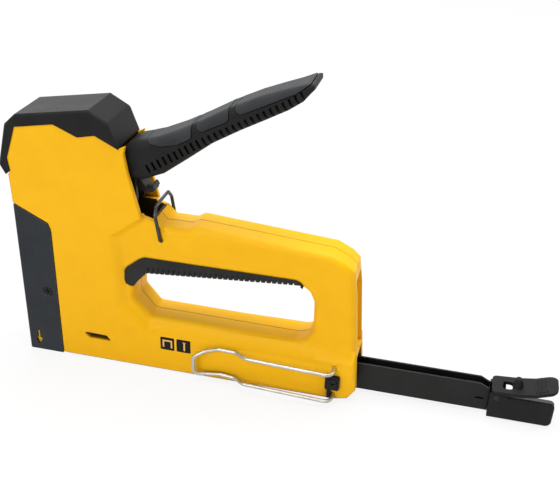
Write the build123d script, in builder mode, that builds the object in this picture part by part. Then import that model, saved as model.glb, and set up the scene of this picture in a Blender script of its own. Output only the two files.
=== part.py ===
"""Heavy-duty hand staple gun, modelled piece by piece in millimetres.

Frame: +X runs from the nose to the rear, +Z up, -Y is the left (belt hook) side.
The origin is the staple exit: on the driver line, in the base plane, on the parting plane.
"""

import os
from math import cos, hypot, pi, radians, sin

from build123d import *

os.makedirs("parts", exist_ok=True)

# ---------------------------------------------------------------- staples and fits
crown_width = 10.6
crown_height = 1.0
slide_gap = 0.3
seat_gap = 0.1
pin_gap = 0.05
far = 400.0
margin = 1.0
close_by = 0.01

# ---------------------------------------------------------------- body shells
wall = 2.5
head_half = 15.6
loop_half = 12.2
crown_half = 12.8
rear_x = 203.4
shell_nose_x = -2.3
brow_x = -4.0
brow_z = 119.5
slot_foot = (75.4, 102.2)
slot_lip = (81.7, 100.4)
slot_bend = (68.8, 128.9)
slot_top = (67.0, 140.3)
crest_end = (68.0, 144.6)
ridge_notch_z = 96.6
ridge_front_z = 99.2
ridge_rear_z = 93.3
ridge_notch_x = 85.4
ridge_notch_end = 101.0
ridge_front_x = 105.4
ridge_rear_x = 184.3
head_line = [
    (64.4, 142.7),
    (51.0, 149.3),
    (40.6, 147.1),
    (26.8, 153.0),
    (3.3, 148.8),
    (-3.5, 129.4),
    (-2.4, 121.6),
]

window_left = 66.8
window_right = 175.6
window_floor = 33.8
roof_front = (74.6, 64.4)
roof_rear = (167.6, 71.8)

# ---------------------------------------------------------------- bumper cap
cap_wall = 3.2
cap_half = 15.9
cap_outline = [
    (-5.4, 119.2),
    (-9.0, 126.0),
    (-2.9, 149.6),
    (4.0, 156.0),
    (48.2, 163.3),
    (58.9, 157.4),
    (64.6, 142.0),
]

# ---------------------------------------------------------------- nose
cover_sheet = 1.6
cover_front = -4.0
cover_rear = 18.4
cover_top_front = 101.0
cover_top_rear = 90.5
cover_screw = (12.4, 44.2)
cover_groove = 0.7
blade_thickness = 1.2
guide_half = 12.0
guide_height = 60.0
guide_front_gap = 0.15
guide_rear_wall = 1.3

# ---------------------------------------------------------------- magazine
rail_half = 4.0
rail_sheet = 1.0
rail_floor = 2.6
rail_top = 20.6
rail_front = 100.0
rail_rear = 279.4
staple_guide_sheet = 1.0
staple_guide_rear = 172.0
recess_front = 176.0
recess_half = 8.5
recess_roof = 29.0
catch_lip_x = 199.3
catch_lip_z = 27.3

# ---------------------------------------------------------------- handle mechanism
pivot_x = 62.0
pivot_z = 110.0
squeeze_angle = 38.0
plunger_lift = 23.0
pivot_pin_r = 4.0
lifter_pin_r = 3.0
cheek_sheet = 2.5
cheek_inner = 4.2

lift_arm = plunger_lift / (2 * sin(radians(squeeze_angle / 2)))
half_angle = squeeze_angle / 2
lifter_x = pivot_x - lift_arm * cos(radians(half_angle))
lifter_z = pivot_z - lift_arm * sin(radians(half_angle))
lifter_reach_x = pivot_x - lift_arm
cheek_outer = cheek_inner + cheek_sheet

staple_guide_half = crown_width / 2 + slide_gap
tunnel_half = staple_guide_half + staple_guide_sheet + slide_gap
crown_top = rail_top + slide_gap + crown_height
staple_guide_roof = crown_top + 3 * slide_gap
tunnel_roof = staple_guide_roof + staple_guide_sheet + slide_gap
tunnel_floor = rail_floor - slide_gap
head_cavity = head_half - wall
crown_cavity = crown_half - wall
loop_cavity = loop_half - wall
blade_face = blade_thickness / 2

screw_r = 1.9
screw_head_r = 3.6
boss_r = 5.2
screw_places = [(30.0, 36.0), (48.0, 143.2), (99.0, 85.0), (140.0, 86.0), (184.5, 79.0), (184.5, 41.0)]
spring_post = (45.0, 66.0)
post_r = 2.0
bail_hole = (85.6, 88.5)
bail_wire_r = 1.0
hook_wire_r = 1.1
hook_eye_x = rear_x - 12.9
hook_eye_top = 22.8
hook_eye_low = 4.2
retainer_centre = (hook_eye_x - 0.5, (hook_eye_top + hook_eye_low) / 2 - 0.5)


def offset_line(points, distance):
    """Open outline moved inwards, each corner to where its two moved sides meet."""
    sides = []
    for (x0, z0), (x1, z1) in zip(points, points[1:]):
        run = hypot(x1 - x0, z1 - z0)
        nx, nz = (z1 - z0) / run * distance, -(x1 - x0) / run * distance
        sides.append(((x0 + nx, z0 + nz), (x1 + nx, z1 + nz)))
    moved = [sides[0][0]]
    for ((ax, az), (bx, bz)), ((cx, cz), (dx, dz)) in zip(sides, sides[1:]):
        turn = (bx - ax) * (dz - cz) - (bz - az) * (dx - cx)
        share = ((cx - ax) * (dz - cz) - (cz - az) * (dx - cx)) / turn
        moved.append((ax + share * (bx - ax), az + share * (bz - az)))
    moved.append(sides[-1][1])
    return moved


def side_plane(y):
    """Side-view plane at a station across the tool, drawn in X and Z and facing the left side."""
    return Plane(origin=(0, y, 0), x_dir=(1, 0, 0), z_dir=(0, -1, 0))


def cross_plane(x):
    """Plane across the tool at a station along it, drawn in Y and Z and facing the rear."""
    return Plane(origin=(x, 0, 0), x_dir=(0, 1, 0), z_dir=(1, 0, 0))


# ================================================================ body shells
heel = [(rear_x - 13.0, 0.0), (rear_x - 4.5, 1.8), (rear_x, 8.0)]
body_outline = [
    (shell_nose_x, 0.0),
    *heel,
    (rear_x - 2.0, 40.0),
    (rear_x - 4.0, 70.0),
    (rear_x - 6.0, 85.0),
    (ridge_rear_x + 9.0, ridge_rear_z - 4.5),
    (ridge_rear_x, ridge_rear_z),
    (ridge_front_x, ridge_front_z),
    (ridge_notch_end, ridge_notch_z),
    (ridge_notch_x, ridge_notch_z),
    slot_lip,
    slot_foot,
    slot_bend,
    slot_top,
    crest_end,
]
window_corner = 3.0
window_rim = 4.0
ridge_round = 4.0
base_band = 9.0
heel_band = 3.0
blend_sunk = 0.8
blend_y = loop_half - blend_sunk
blend_run = 7.0


def head_outline(step):
    """Outline of the full-width head and lower bar, its inner border moved back by a step."""
    return [
        (shell_nose_x, 0.0),
        *heel,
        (rear_x - 1.6, 34.0 - step),
        (window_left + 9.0, 32.0 - step),
        (64.0 - step, 44.0 - step / 2),
        (62.0 - step, 88.0),
        (75.2 - step, 98.0),
        slot_foot,
        slot_bend,
        slot_top,
        crest_end,
    ]


brow_lean = 0.6
brow_outline = [
    (brow_x, brow_z),
    (brow_x + brow_lean, cover_top_front + slide_gap),
    (shell_nose_x, cover_top_front + slide_gap),
]
window_outline = [
    (window_left, window_floor + 12.2),
    (window_left + 9.2, window_floor + 1.0),
    (window_right - 10.5, window_floor),
    (window_right - 3.5, window_floor + 2.0),
    (window_right, window_floor + 7.5),
    (window_right - 0.2, roof_rear[1] - 10.0),
    (window_right - 2.8, roof_rear[1] - 4.0),
    roof_rear,
    roof_front,
    (window_left + 0.6, roof_front[1] - 8.0),
]
crown_line = offset_line(cap_outline, cap_wall)
base_round = 1.6
slot_roof_x = 61.2
shelf_front = 4.5
seat_z = 149.8
front_space = [
    (-blade_face - 0.2, guide_height),
    (-blade_face - 0.2, 124.0),
    (4.0, 139.0),
    (slot_roof_x, 139.0),
    (slot_roof_x, 147.0),
    (92.0, 147.0),
    (92.0, slot_foot[1] + 1.0),
    (52.0, slot_foot[1] + 1.0),
    (52.0, tunnel_roof + wall),
    (shelf_front, tunnel_roof + wall),
    (shelf_front, guide_height),
]
slot_space = [
    (51.0, slot_foot[1] + 2.0),
    (92.0, slot_foot[1] + 2.0),
    (92.0, slot_foot[1]),
    (slot_lip[0] - 0.5, slot_foot[1]),
    (slot_lip[0] - wall, slot_lip[1] - 1.0),
    (slot_lip[0] - wall, 86.0),
    (66.0, 84.0),
    (60.0, 80.0),
    (51.0, 80.0),
]
loop_corner = 2.0
vent_corner = 0.6
loop_space = [
    (93.5, 79.0),
    (93.5, 91.4),
    (ridge_notch_end + 1.0, 91.4),
    (ridge_front_x, ridge_front_z - 1.4 * wall),
    (ridge_rear_x, ridge_rear_z - 1.4 * wall),
    (193.0, 84.0),
    (190.0, 74.0),
    (190.0, 34.5),
    (window_right + wall + 1.0, 34.5),
    (window_right + wall + 1.8, 62.0),
    (172.0, 79.0),
]
rear_scoop = [
    (rear_x + 9.0, catch_lip_z + 0.5),
    (193.0, catch_lip_z + 4.2),
    (193.0, 50.0),
    (198.0, 78.0),
    (rear_x + 9.0, 80.0),
]
scoop_half = 7.5
grip_half = loop_half + 0.5
grip_core_half = 10.2
grip_top = 75.8
grip_outline = [
    (64.8, 55.4),
    (62.4, 56.6),
    (61.8, 59.4),
    (62.2, 65.6),
    (63.6, 67.8),
    (71.8, 74.4),
    (74.8, grip_top),
    (164.9, grip_top),
    (167.4, grip_top - 1.0),
    (169.0, grip_top - 3.9),
    (roof_rear[0] + 1.2, roof_rear[1] - 2.0),
    (120.0, 60.0),
    (72.0, 57.4),
    (67.6, 55.4),
]
grip_sole = 1.6


def roof_height(x):
    """Height of the finger window's sloping roof at a station along the tool."""
    (x0, z0), (x1, z1) = roof_front, roof_rear
    return z0 + (x - x0) * (z1 - z0) / (x1 - x0)


grip_core = [
    (78.0, roof_height(78.0) + wall),
    (160.0, roof_height(160.0) + grip_sole),
    (160.0, grip_top + 0.5),
    (78.0, grip_top + 0.5),
]
cover_boss_r = 4.6
cover_screw_end = 8.0
cover_shank_r = 1.7
pivot_boss_r = 7.0
post_boss_r = 5.2
post_boss_inner = 9.0
bail_end = 8.4
shelf_top = 50.0
plunger_half = 8.0
rib_places = (9.0, 27.0)
rib_sheet = 2.0
rib_top = 125.0
shelf_rear = 40.0
guide_rear = blade_face + guide_front_gap + guide_rear_wall
guide_seat_rear = guide_rear + seat_gap
boss_depths = [depth + seat_gap for depth in (head_cavity, crown_cavity, *[loop_cavity] * 4)]


cover_shoulder = 85.5
cover_turn = (0.4, 88.0)
cover_top_inset = 1.6
cover_tip = 1.0
cover_tip_drop = 0.2


def cover_outline(grow):
    """Side outline of the wrap-round nose cover, grown by a clearance at its top and rear."""
    return [
        (cover_front, -far if grow else 0.0),
        (cover_rear + grow, -far if grow else 0.0),
        (cover_rear + grow, cover_shoulder),
        (cover_rear - cover_turn[0] + grow, cover_turn[1]),
        (cover_rear - cover_top_inset + grow, cover_top_rear + grow),
        (cover_front + cover_tip, cover_top_front - cover_tip_drop + grow),
        (cover_front, cover_top_front - cover_tip + grow),
    ]


crown_foot = 135.0
crown_front = -blade_face - 2 * seat_gap
crown_space = [
    (crown_front, crown_foot),
    (crown_front, 143.0),
    (2.5, seat_z),
    (17.0, seat_z),
    (19.0, 152.2),
    (46.0, 156.4),
    (53.0, 152.0),
    (58.0, 140.0),
    (62.0, crown_foot),
]

with BuildPart() as half_shell:
    with BuildSketch(Plane.XZ):
        with BuildLine():
            Polyline(*body_outline, *head_line, *brow_outline, close=True)
        make_face()
        with BuildLine():
            FilletPolyline(*window_outline, radius=window_corner, close=True)
        make_face(mode=Mode.SUBTRACT)
    extrude(amount=loop_half)
    loop_face = half_shell.faces().sort_by(Axis.Y)[0]
    rim = [e for e in loop_face.inner_wires()[0].edges()]
    fillet(rim, radius=window_rim)
    ridge = [
        e for e in half_shell.faces().sort_by(Axis.Y)[0].outer_wire().edges()
        if e.center().X > ridge_notch_x and e.center().Z > roof_rear[1]
    ]
    fillet(ridge, radius=ridge_round)
    with BuildSketch(Plane.XZ):
        with BuildLine():
            Polyline(*head_outline(0.0), *head_line, *brow_outline, close=True)
        make_face()
    extrude(amount=blend_y)
    for station, step in ((blend_y, 0.0), (head_half, blend_run)):
        with BuildSketch(side_plane(-station)):
            with BuildLine():
                Polyline(*head_outline(step), *head_line, *brow_outline, close=True)
            make_face()
    loft(ruled=True)
    sides = half_shell.faces().filter_by(Plane.XZ).sort_by(Axis.Y)[0].outer_wire().edges()
    base_edges = [e for e in sides if e.center().Z < base_band or e.center().X > rear_x - heel_band]
    fillet(base_edges, radius=base_round)
    # crown that carries the bumper cap
    with BuildSketch(Plane.XZ):
        with BuildLine():
            Polyline(*crown_line, (crown_line[-1][0], brow_z), (0.0, brow_z), close=True)
        make_face()
    extrude(amount=crown_half)
    # working space of the plunger and lever, open to the slot behind the head
    for space, depth in ((front_space, head_cavity), (slot_space, loop_cavity), (crown_space, crown_cavity)):
        with BuildSketch(Plane.XZ):
            with BuildLine():
                Polyline(*space, close=True)
            make_face()
        extrude(amount=depth, mode=Mode.SUBTRACT)
    # hollow of the top bar and rear post
    with BuildSketch(Plane.XZ):
        with BuildLine():
            FilletPolyline(*loop_space, radius=loop_corner, close=True)
        make_face()
    extrude(amount=loop_cavity, mode=Mode.SUBTRACT)
    # staple tunnel, rear recess for the end cap, and the nose pocket
    for x0, x1, z0, z1, depth in (
        (shell_nose_x - margin, recess_front, tunnel_floor, tunnel_roof, tunnel_half),
        (recess_front, rear_x + margin, -margin, catch_lip_z, recess_half),
        (recess_front, catch_lip_x, -margin, recess_roof, recess_half),
        (shell_nose_x - margin, guide_seat_rear, -margin, guide_height + seat_gap, guide_half + seat_gap),
    ):
        with BuildSketch(Plane.XZ):
            with Locations(((x0 + x1) / 2, (z0 + z1) / 2)):
                Rectangle(x1 - x0, z1 - z0)
        extrude(amount=depth, mode=Mode.SUBTRACT)
    with BuildSketch(Plane.XZ):
        with BuildLine():
            Polyline(*rear_scoop, close=True)
        make_face()
    extrude(amount=scoop_half, mode=Mode.SUBTRACT)
    # step for the nose cover
    with BuildSketch(side_plane(-(head_half - cover_sheet - seat_gap))):
        with BuildLine():
            Polyline(*cover_outline(cover_groove), close=True)
        make_face()
    extrude(amount=far, mode=Mode.SUBTRACT)
    # rebate for the finger grip, with the bar's core left inside it
    with BuildSketch(Plane.XZ):
        with BuildLine():
            Polyline(*grip_outline, close=True)
        make_face()
    extrude(amount=head_half, mode=Mode.SUBTRACT)
    with BuildSketch(Plane.XZ):
        with BuildLine():
            Polyline(*grip_core, close=True)
        make_face()
    extrude(amount=grip_core_half)
    # screw bosses, pivot boss, cover screw boss, spring post boss and the bumper shelf
    for (x, z), depth in zip(screw_places, boss_depths):
        with BuildSketch(Plane.XZ):
            with Locations((x, z)):
                Circle(boss_r)
        extrude(amount=depth)
    for (x, z), radius, inner in (
        ((pivot_x, pivot_z), pivot_boss_r, cheek_outer + slide_gap),
        (cover_screw, cover_boss_r, cover_screw_end),
        (spring_post, post_boss_r, post_boss_inner),
    ):
        with BuildSketch(side_plane(-inner)):
            with Locations((x, z)):
                Circle(radius)
        extrude(amount=head_cavity + seat_gap - inner)
    with BuildSketch(Plane.XZ):
        with Locations(((shelf_front + shelf_rear) / 2, shelf_top - wall / 2)):
            Rectangle(shelf_rear - shelf_front, wall)
    extrude(amount=head_cavity + seat_gap)
    # guide ribs each side of the plunger
    for x in rib_places:
        with BuildSketch(side_plane(-(plunger_half + slide_gap))):
            with Locations((x, (guide_height + rib_top) / 2)):
                Rectangle(rib_sheet, rib_top - guide_height)
        extrude(amount=head_cavity + seat_gap - plunger_half - slide_gap)
    # bores that both halves share
    for (x, z), radius, start, stop in (
        ((pivot_x, pivot_z), pivot_pin_r + pin_gap, cheek_outer, head_cavity),
        (spring_post, post_r + pin_gap, post_boss_inner - margin, head_cavity),
        (bail_hole, bail_wire_r + pin_gap, bail_end, head_half),
        (cover_screw, cover_shank_r + pin_gap, cover_screw_end - margin, head_half),
    ):
        with BuildSketch(side_plane(-start)):
            with Locations((x, z)):
                Circle(radius)
        extrude(amount=stop - start, mode=Mode.SUBTRACT)


def drill(x, z, radius, start, stop):
    """Round cut along Y at a side-view place, from one station across the tool to another."""
    with BuildSketch(side_plane(start)) as disc:
        with Locations((x, z)):
            Circle(radius)
    extrude(disc.sketch, amount=start - stop, mode=Mode.SUBTRACT)


screw_sides = (head_half, head_half, *[loop_half] * 4)
screw_head_high = 2.0
screw_sink = 2.2
screw_end_wall = 2.6
tip_gap = 0.4
hook_end_y = -11.8
side_vent = [(34.2, 18.3), (36.4, 18.8), (48.9, 18.5), (51.6, 14.9), (37.7, 14.9)]
vent_depth = head_half - tunnel_half + slide_gap
retainer_screw_r = 1.5
retainer_screw_end = -11.0

with BuildPart() as left_shell:
    add(half_shell.part)
    for (x, z), side in zip(screw_places, screw_sides):
        drill(x, z, screw_r + pin_gap, 0.0, -(side - screw_end_wall))
    for z in (hook_eye_top, hook_eye_low):
        drill(hook_eye_x, z, hook_wire_r + pin_gap, hook_end_y + seat_gap, -head_half)
    drill(*retainer_centre, retainer_screw_r + pin_gap, retainer_screw_end + seat_gap, -head_half)
    with BuildSketch(side_plane(-(head_half - vent_depth))):
        with BuildLine():
            FilletPolyline(*side_vent, radius=vent_corner, close=True)
        make_face()
    extrude(amount=vent_depth, mode=Mode.SUBTRACT)
left_shell.part.label = "left_shell"
export_step(left_shell.part, "parts/left_shell.step")

with BuildPart() as right_shell:
    add(half_shell.part.mirror(Plane.XZ))
    for (x, z), side in zip(screw_places, screw_sides):
        drill(x, z, screw_r + pin_gap, side, 0.0)
        drill(x, z, screw_head_r + seat_gap, side + margin, side - screw_sink)
    with BuildSketch(side_plane(head_half)):
        with BuildLine():
            FilletPolyline(*side_vent, radius=vent_corner, close=True)
        make_face()
    extrude(amount=vent_depth, mode=Mode.SUBTRACT)
right_shell.part.label = "right_shell"
export_step(right_shell.part, "parts/right_shell.step")


def cross_recess(x, z, face_y, depth, toward):
    """Cross-shaped driver recess cut into a screw head; toward is +1 when the head faces +Y."""
    with BuildSketch(side_plane(face_y)) as cross:
        with Locations((x, z)):
            Rectangle(cross_long, cross_wide)
            Rectangle(cross_wide, cross_long)
    extrude(cross.sketch, amount=toward * depth, mode=Mode.SUBTRACT)


cross_long = 3.6
cross_wide = 0.9
cross_depth = 1.2

with BuildPart() as shell_screws:
    for (x, z), side in zip(screw_places, screw_sides):
        head_face = side - screw_sink + screw_head_high
        for radius, start, stop in (
            (screw_head_r, head_face, side - screw_sink),
            (screw_r, side - screw_sink, screw_end_wall + tip_gap - side),
        ):
            with BuildSketch(side_plane(start)):
                with Locations((x, z)):
                    Circle(radius)
            extrude(amount=start - stop)
        cross_recess(x, z, head_face, cross_depth, 1)
shell_screws.part.label = "shell_screws"
export_step(shell_screws.part, "parts/shell_screws.step")

# ================================================================ bumper cap
cap_chamfer = 1.0

with BuildPart() as top_cap:
    with BuildSketch(Plane.XZ):
        with BuildLine():
            Polyline(*cap_outline, *head_line, close=True)
        make_face()
    extrude(amount=cap_half, both=True)
    crest = [
        e for e in top_cap.edges().filter_by(lambda e: abs(abs(e.center().Y) - cap_half) < close_by)
        if any(hypot(e.center().X - (p[0] + q[0]) / 2, e.center().Z - (p[1] + q[1]) / 2) < close_by
               for p, q in zip(cap_outline[1:], cap_outline[2:-1]))
    ]
    chamfer(crest, length=cap_chamfer)
    with BuildSketch(Plane.XZ):
        with BuildLine():
            Polyline(*crown_line, (crown_line[-1][0], brow_z), (0.0, brow_z), close=True)
        make_face()
    extrude(amount=crown_half, both=True, mode=Mode.SUBTRACT)
top_cap.part.label = "top_cap"
export_step(top_cap.part, "parts/top_cap.step")

# ================================================================ nose
cover_bend = 1.5
cover_head_r = 3.3
cover_head_high = 0.9
cover_web = 0.6
cover_seat = head_half - cover_sheet + cover_web
sink_gap = 0.2
arrow_x = 2.6
arrow_top = 13.9
arrow_neck = 8.4
arrow_tip = 3.4
arrow_shaft_half = 1.0
arrow_head_half = 2.6
arrow_cut = [
    (arrow_x - arrow_shaft_half, arrow_top),
    (arrow_x + arrow_shaft_half, arrow_top),
    (arrow_x + arrow_shaft_half, arrow_neck),
    (arrow_x + arrow_head_half, arrow_neck),
    (arrow_x, arrow_tip),
    (arrow_x - arrow_head_half, arrow_neck),
    (arrow_x - arrow_shaft_half, arrow_neck),
]

with BuildPart() as nose_cover:
    with BuildSketch(Plane.XY) as cover_plan:
        with Locations(((cover_front + cover_rear) / 2, 0.0)):
            Rectangle(cover_rear - cover_front, 2 * head_half)
        fillet(cover_plan.vertices().group_by(Axis.X)[0], radius=cover_bend)
        inside_front, inside_rear = cover_front + cover_sheet, cover_rear + wall
        with Locations(((inside_front + inside_rear) / 2, 0.0)):
            Rectangle(inside_rear - inside_front, 2 * (head_half - cover_sheet), mode=Mode.SUBTRACT)
    extrude(amount=cover_top_front)
    with BuildSketch(Plane.XZ):
        with BuildLine():
            Polyline(*cover_outline(0.0), close=True)
        make_face()
    extrude(amount=head_half + margin, both=True, mode=Mode.INTERSECT)
    for side in (-1, 1):
        drill(*cover_screw, cover_shank_r + pin_gap, side * head_half, side * (head_half - cover_sheet))
        drill(*cover_screw, cover_head_r + sink_gap, side * (head_half + margin), side * cover_seat)
    with BuildSketch(side_plane(head_half)):
        with BuildLine():
            Polyline(*arrow_cut, close=True)
        make_face()
    extrude(amount=2 * head_half, mode=Mode.SUBTRACT)
nose_cover.part.label = "nose_cover"
export_step(nose_cover.part, "parts/nose_cover.step")

with BuildPart() as nose_screws:
    for side in (-1, 1):
        head_seat = side * cover_seat
        head_face = head_seat + side * cover_head_high
        tip = side * (cover_screw_end + tip_gap)
        for radius, start, stop in ((cover_head_r, head_face, head_seat), (cover_shank_r, head_seat, tip)):
            with BuildSketch(side_plane(start)):
                with Locations(cover_screw):
                    Circle(radius)
            extrude(amount=start - stop)
        cross_recess(*cover_screw, head_face, cross_depth, side)
nose_screws.part.label = "nose_screws"
export_step(nose_screws.part, "parts/nose_screws.step")

blade_half = 5.3
blade_side_gap = 0.15
blade_slot_half = blade_half + blade_side_gap
nose_gate_half = tunnel_half + slide_gap
nose_gate_top = tunnel_roof + 2 * seat_gap

with BuildPart() as nose_guide:
    with BuildSketch(Plane.XY):
        with Locations(((shell_nose_x + guide_rear) / 2, 0.0)):
            Rectangle(guide_rear - shell_nose_x, 2 * guide_half)
        Rectangle(2 * (blade_face + guide_front_gap), 2 * blade_slot_half, mode=Mode.SUBTRACT)
    extrude(amount=guide_height)
    with BuildSketch(Plane.XY):
        with Locations((blade_face + guide_front_gap + guide_rear_wall, 0.0)):
            Rectangle(2 * guide_rear_wall, 2 * nose_gate_half)
    extrude(amount=nose_gate_top, mode=Mode.SUBTRACT)
nose_guide.part.label = "nose_guide"
export_step(nose_guide.part, "parts/nose_guide.step")

# ================================================================ finger grip
groove_pitch = 3.2
groove_count = 28
groove_wide = 1.1
groove_deep = 0.7
groove_high = 4.4
groove_fall = groove_high / 2
groove_corner = 1.8
grip_side_rim = 2.4
groove_start = roof_front[0] + 1.8
roof_plane = Plane(
    origin=(roof_front[0], 0, roof_front[1]),
    x_dir=(0, 1, 0),
    z_dir=(roof_rear[0] - roof_front[0], 0, roof_rear[1] - roof_front[1]),
)
rim_inner = grip_half - grip_side_rim
rim_arc = [
    (rim_inner + grip_side_rim * sin(radians(turn)), grip_side_rim * (1 - cos(radians(turn))))
    for turn in (0.0, 30.0, 60.0, 90.0)
]
rim_corner = [
    *rim_arc,
    (grip_half + margin, grip_side_rim),
    (grip_half + margin, -margin),
    (rim_inner, -margin),
]

with BuildPart() as finger_grip:
    with BuildSketch(Plane.XZ):
        with BuildLine():
            Polyline(*grip_outline, close=True)
        make_face()
        with BuildLine():
            FilletPolyline(*window_outline, radius=window_corner, close=True)
        make_face(mode=Mode.SUBTRACT)
    extrude(amount=grip_half, both=True)
    # rounded lower rims along the roof
    for side in (-1, 1):
        with BuildSketch(roof_plane) as rim:
            with BuildLine():
                Polyline(*[(side * across, up) for across, up in rim_corner], close=True)
            make_face()
        extrude(amount=hypot(roof_rear[0] - roof_front[0], roof_rear[1] - roof_front[1]), mode=Mode.SUBTRACT)
    with BuildSketch(Plane.XZ):
        with BuildLine():
            Polyline(*grip_core, close=True)
        make_face()
    extrude(amount=grip_core_half, both=True, mode=Mode.SUBTRACT)
    # grooves across the sole, each turned up both sides
    for k in range(groove_count):
        x = groove_start + k * groove_pitch
        sole = roof_height(x) + groove_deep
        side = grip_half - groove_deep
        top = sole + groove_high - groove_fall * k / groove_count
        with BuildSketch(cross_plane(x)):
            with Locations((0.0, sole)):
                Rectangle(2 * (grip_half + groove_deep), 2 * (top - sole))
            with BuildLine():
                Polyline(
                    (-side, top), (-side, sole + groove_corner), (groove_corner - side, sole),
                    (side - groove_corner, sole), (side, sole + groove_corner), (side, top), close=True)
            make_face(mode=Mode.SUBTRACT)
        extrude(amount=groove_wide, mode=Mode.SUBTRACT)
finger_grip.part.label = "finger_grip"
export_step(finger_grip.part, "parts/finger_grip.step")

# ================================================================ belt hook
hook_far_y = -24.0
hook_bow_y = -18.0
hook_line = [
    (hook_eye_x, hook_end_y, hook_eye_top),
    (hook_eye_x, hook_far_y, hook_eye_top),
    (138.0, hook_far_y, 25.5),
    (129.5, hook_bow_y, 24.9),
    (118.0, hook_bow_y, 24.4),
    (107.5, hook_bow_y, 22.0),
    (104.0, hook_bow_y, 15.0),
    (107.5, hook_bow_y, 7.6),
    (118.0, hook_bow_y, 5.4),
    (129.5, hook_bow_y, 5.6),
    (138.0, hook_far_y, 6.6),
    (hook_eye_x, hook_far_y, hook_eye_low),
    (hook_eye_x, hook_end_y, hook_eye_low),
]
hook_bend = 2.6

with BuildPart() as belt_hook:
    with BuildLine() as hook_path:
        FilletPolyline(*hook_line, radius=hook_bend)
    with BuildSketch(Plane(origin=hook_line[0], x_dir=(1, 0, 0), z_dir=(0, -1, 0))):
        Circle(hook_wire_r)
    sweep(path=hook_path.wires()[0])
belt_hook.part.label = "belt_hook"
export_step(belt_hook.part, "parts/belt_hook.step")

retainer_half = 4.2
retainer_high = 2.4
retainer_tab = (187.2, 189.0, 2.6)
retainer_head_r = 2.9
retainer_extra = 0.6
retainer_corner = 1.0
retainer_web = 1.0
retainer_face = -head_half - retainer_high - tip_gap

with BuildPart() as hook_retainer:
    with BuildSketch(side_plane(-head_half)):
        with Locations(retainer_centre):
            RectangleRounded(2 * retainer_half, 2 * retainer_half + retainer_extra, retainer_corner)
        tab_left, tab_right, tab_foot = retainer_tab
        with Locations(((tab_left + tab_right) / 2, (tab_foot + retainer_centre[1]) / 2)):
            Rectangle(tab_right - tab_left, retainer_centre[1] - tab_foot)
    extrude(amount=retainer_high)
    drill(*retainer_centre, retainer_screw_r + pin_gap, 0.0, -far)
    drill(*retainer_centre, retainer_head_r + seat_gap, -head_half - retainer_web, -far)
hook_retainer.part.label = "hook_retainer"
export_step(hook_retainer.part, "parts/hook_retainer.step")

with BuildPart() as hook_screw:
    for radius, start, stop in (
        (retainer_head_r, -head_half - retainer_web, retainer_face),
        (retainer_screw_r, retainer_screw_end, -head_half - retainer_web),
    ):
        with BuildSketch(side_plane(start)):
            with Locations(retainer_centre):
                Circle(radius)
        extrude(amount=start - stop)
    cross_recess(*retainer_centre, retainer_face, cross_depth, -1)
hook_screw.part.label = "hook_screw"
export_step(hook_screw.part, "parts/hook_screw.step")

# ================================================================ pins, posts and springs held in the body
with BuildPart() as pivot_pin:
    with BuildSketch(Plane.XZ):
        with Locations((pivot_x, pivot_z)):
            Circle(pivot_pin_r)
    extrude(amount=head_cavity, both=True)
pivot_pin.part.label = "pivot_pin"
export_step(pivot_pin.part, "parts/pivot_pin.step")

with BuildPart() as spring_post_pin:
    with BuildSketch(Plane.XZ):
        with Locations(spring_post):
            Circle(post_r)
    extrude(amount=head_cavity, both=True)
spring_post_pin.part.label = "spring_post"
export_step(spring_post_pin.part, "parts/spring_post.step")

bumper_front = 6.0
bumper_rear = 33.0
bumper_corner = 2.0

with BuildPart() as plunger_bumper:
    with BuildSketch(Plane(origin=(0, 0, shelf_top))):
        with Locations(((bumper_front + bumper_rear) / 2, 0.0)):
            RectangleRounded(bumper_rear - bumper_front, 2 * plunger_half, bumper_corner)
    extrude(amount=guide_height - shelf_top - seat_gap)
plunger_bumper.part.label = "plunger_bumper"
export_step(plunger_bumper.part, "parts/plunger_bumper.step")

spring_x = 9.5
spring_mean_r = 5.5
spring_wire_r = 1.2
spring_turns = 7
coil_steps = 12
spigot_r = 4.0
plunger_top = 87.5
seat_disc_r = 6.9
seat_disc_high = 2.8
seat_spigot_foot = 140.0
main_spring_foot = plunger_top + spring_wire_r
main_spring_top = seat_z - seat_disc_high - spring_wire_r

with BuildPart() as spring_seat:
    with BuildSketch(Plane(origin=(spring_x, 0, seat_z))):
        Circle(seat_disc_r)
    extrude(amount=-seat_disc_high)
    with BuildSketch(Plane(origin=(spring_x, 0, seat_z))):
        Circle(spigot_r)
    extrude(amount=seat_spigot_foot - seat_z)
spring_seat.part.label = "spring_seat"
export_step(spring_seat.part, "parts/spring_seat.step")


def coil(mean_radius, wire_radius, turns, length):
    """Wire coil standing on +Z from the origin, as one solid ruled through square wire sections."""
    sections = []
    for k in range(turns * coil_steps + 1):
        bearing = 2 * pi * k / coil_steps
        out = (cos(bearing), sin(bearing), 0.0)
        station = Plane(
            origin=(mean_radius * out[0], mean_radius * out[1], length * k / (turns * coil_steps)),
            x_dir=out,
            z_dir=(-out[1], out[0], 0.0),
        )
        sections.append(station * Rectangle(2 * wire_radius, 2 * wire_radius))
    return loft(sections, ruled=True)


main_coil = coil(spring_mean_r, spring_wire_r, spring_turns, main_spring_top - main_spring_foot)

with BuildPart() as main_spring:
    add(Pos(spring_x, 0, main_spring_foot) * main_coil)
main_spring.part.label = "main_spring"
export_step(main_spring.part, "parts/main_spring.step")

spring_pin_place = (45.0, 101.0)
spring_pin_r = 1.5
return_mean_r = 3.0
return_wire_r = 0.6
return_turns = 7
return_loop_r = 2.75
return_tail = 3.0
return_foot = spring_post[1] + return_loop_r + return_tail
return_top = spring_pin_place[1] - return_loop_r - return_tail


def end_loop(place, radius, wire_radius):
    """Ring of wire round a cross pin, its axis along Y, at a side-view place."""
    ring = Plane(origin=(place[0], 0, place[1]), x_dir=(1, 0, 0), z_dir=(0, -1, 0))
    return ring * Torus(radius, wire_radius)


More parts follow.
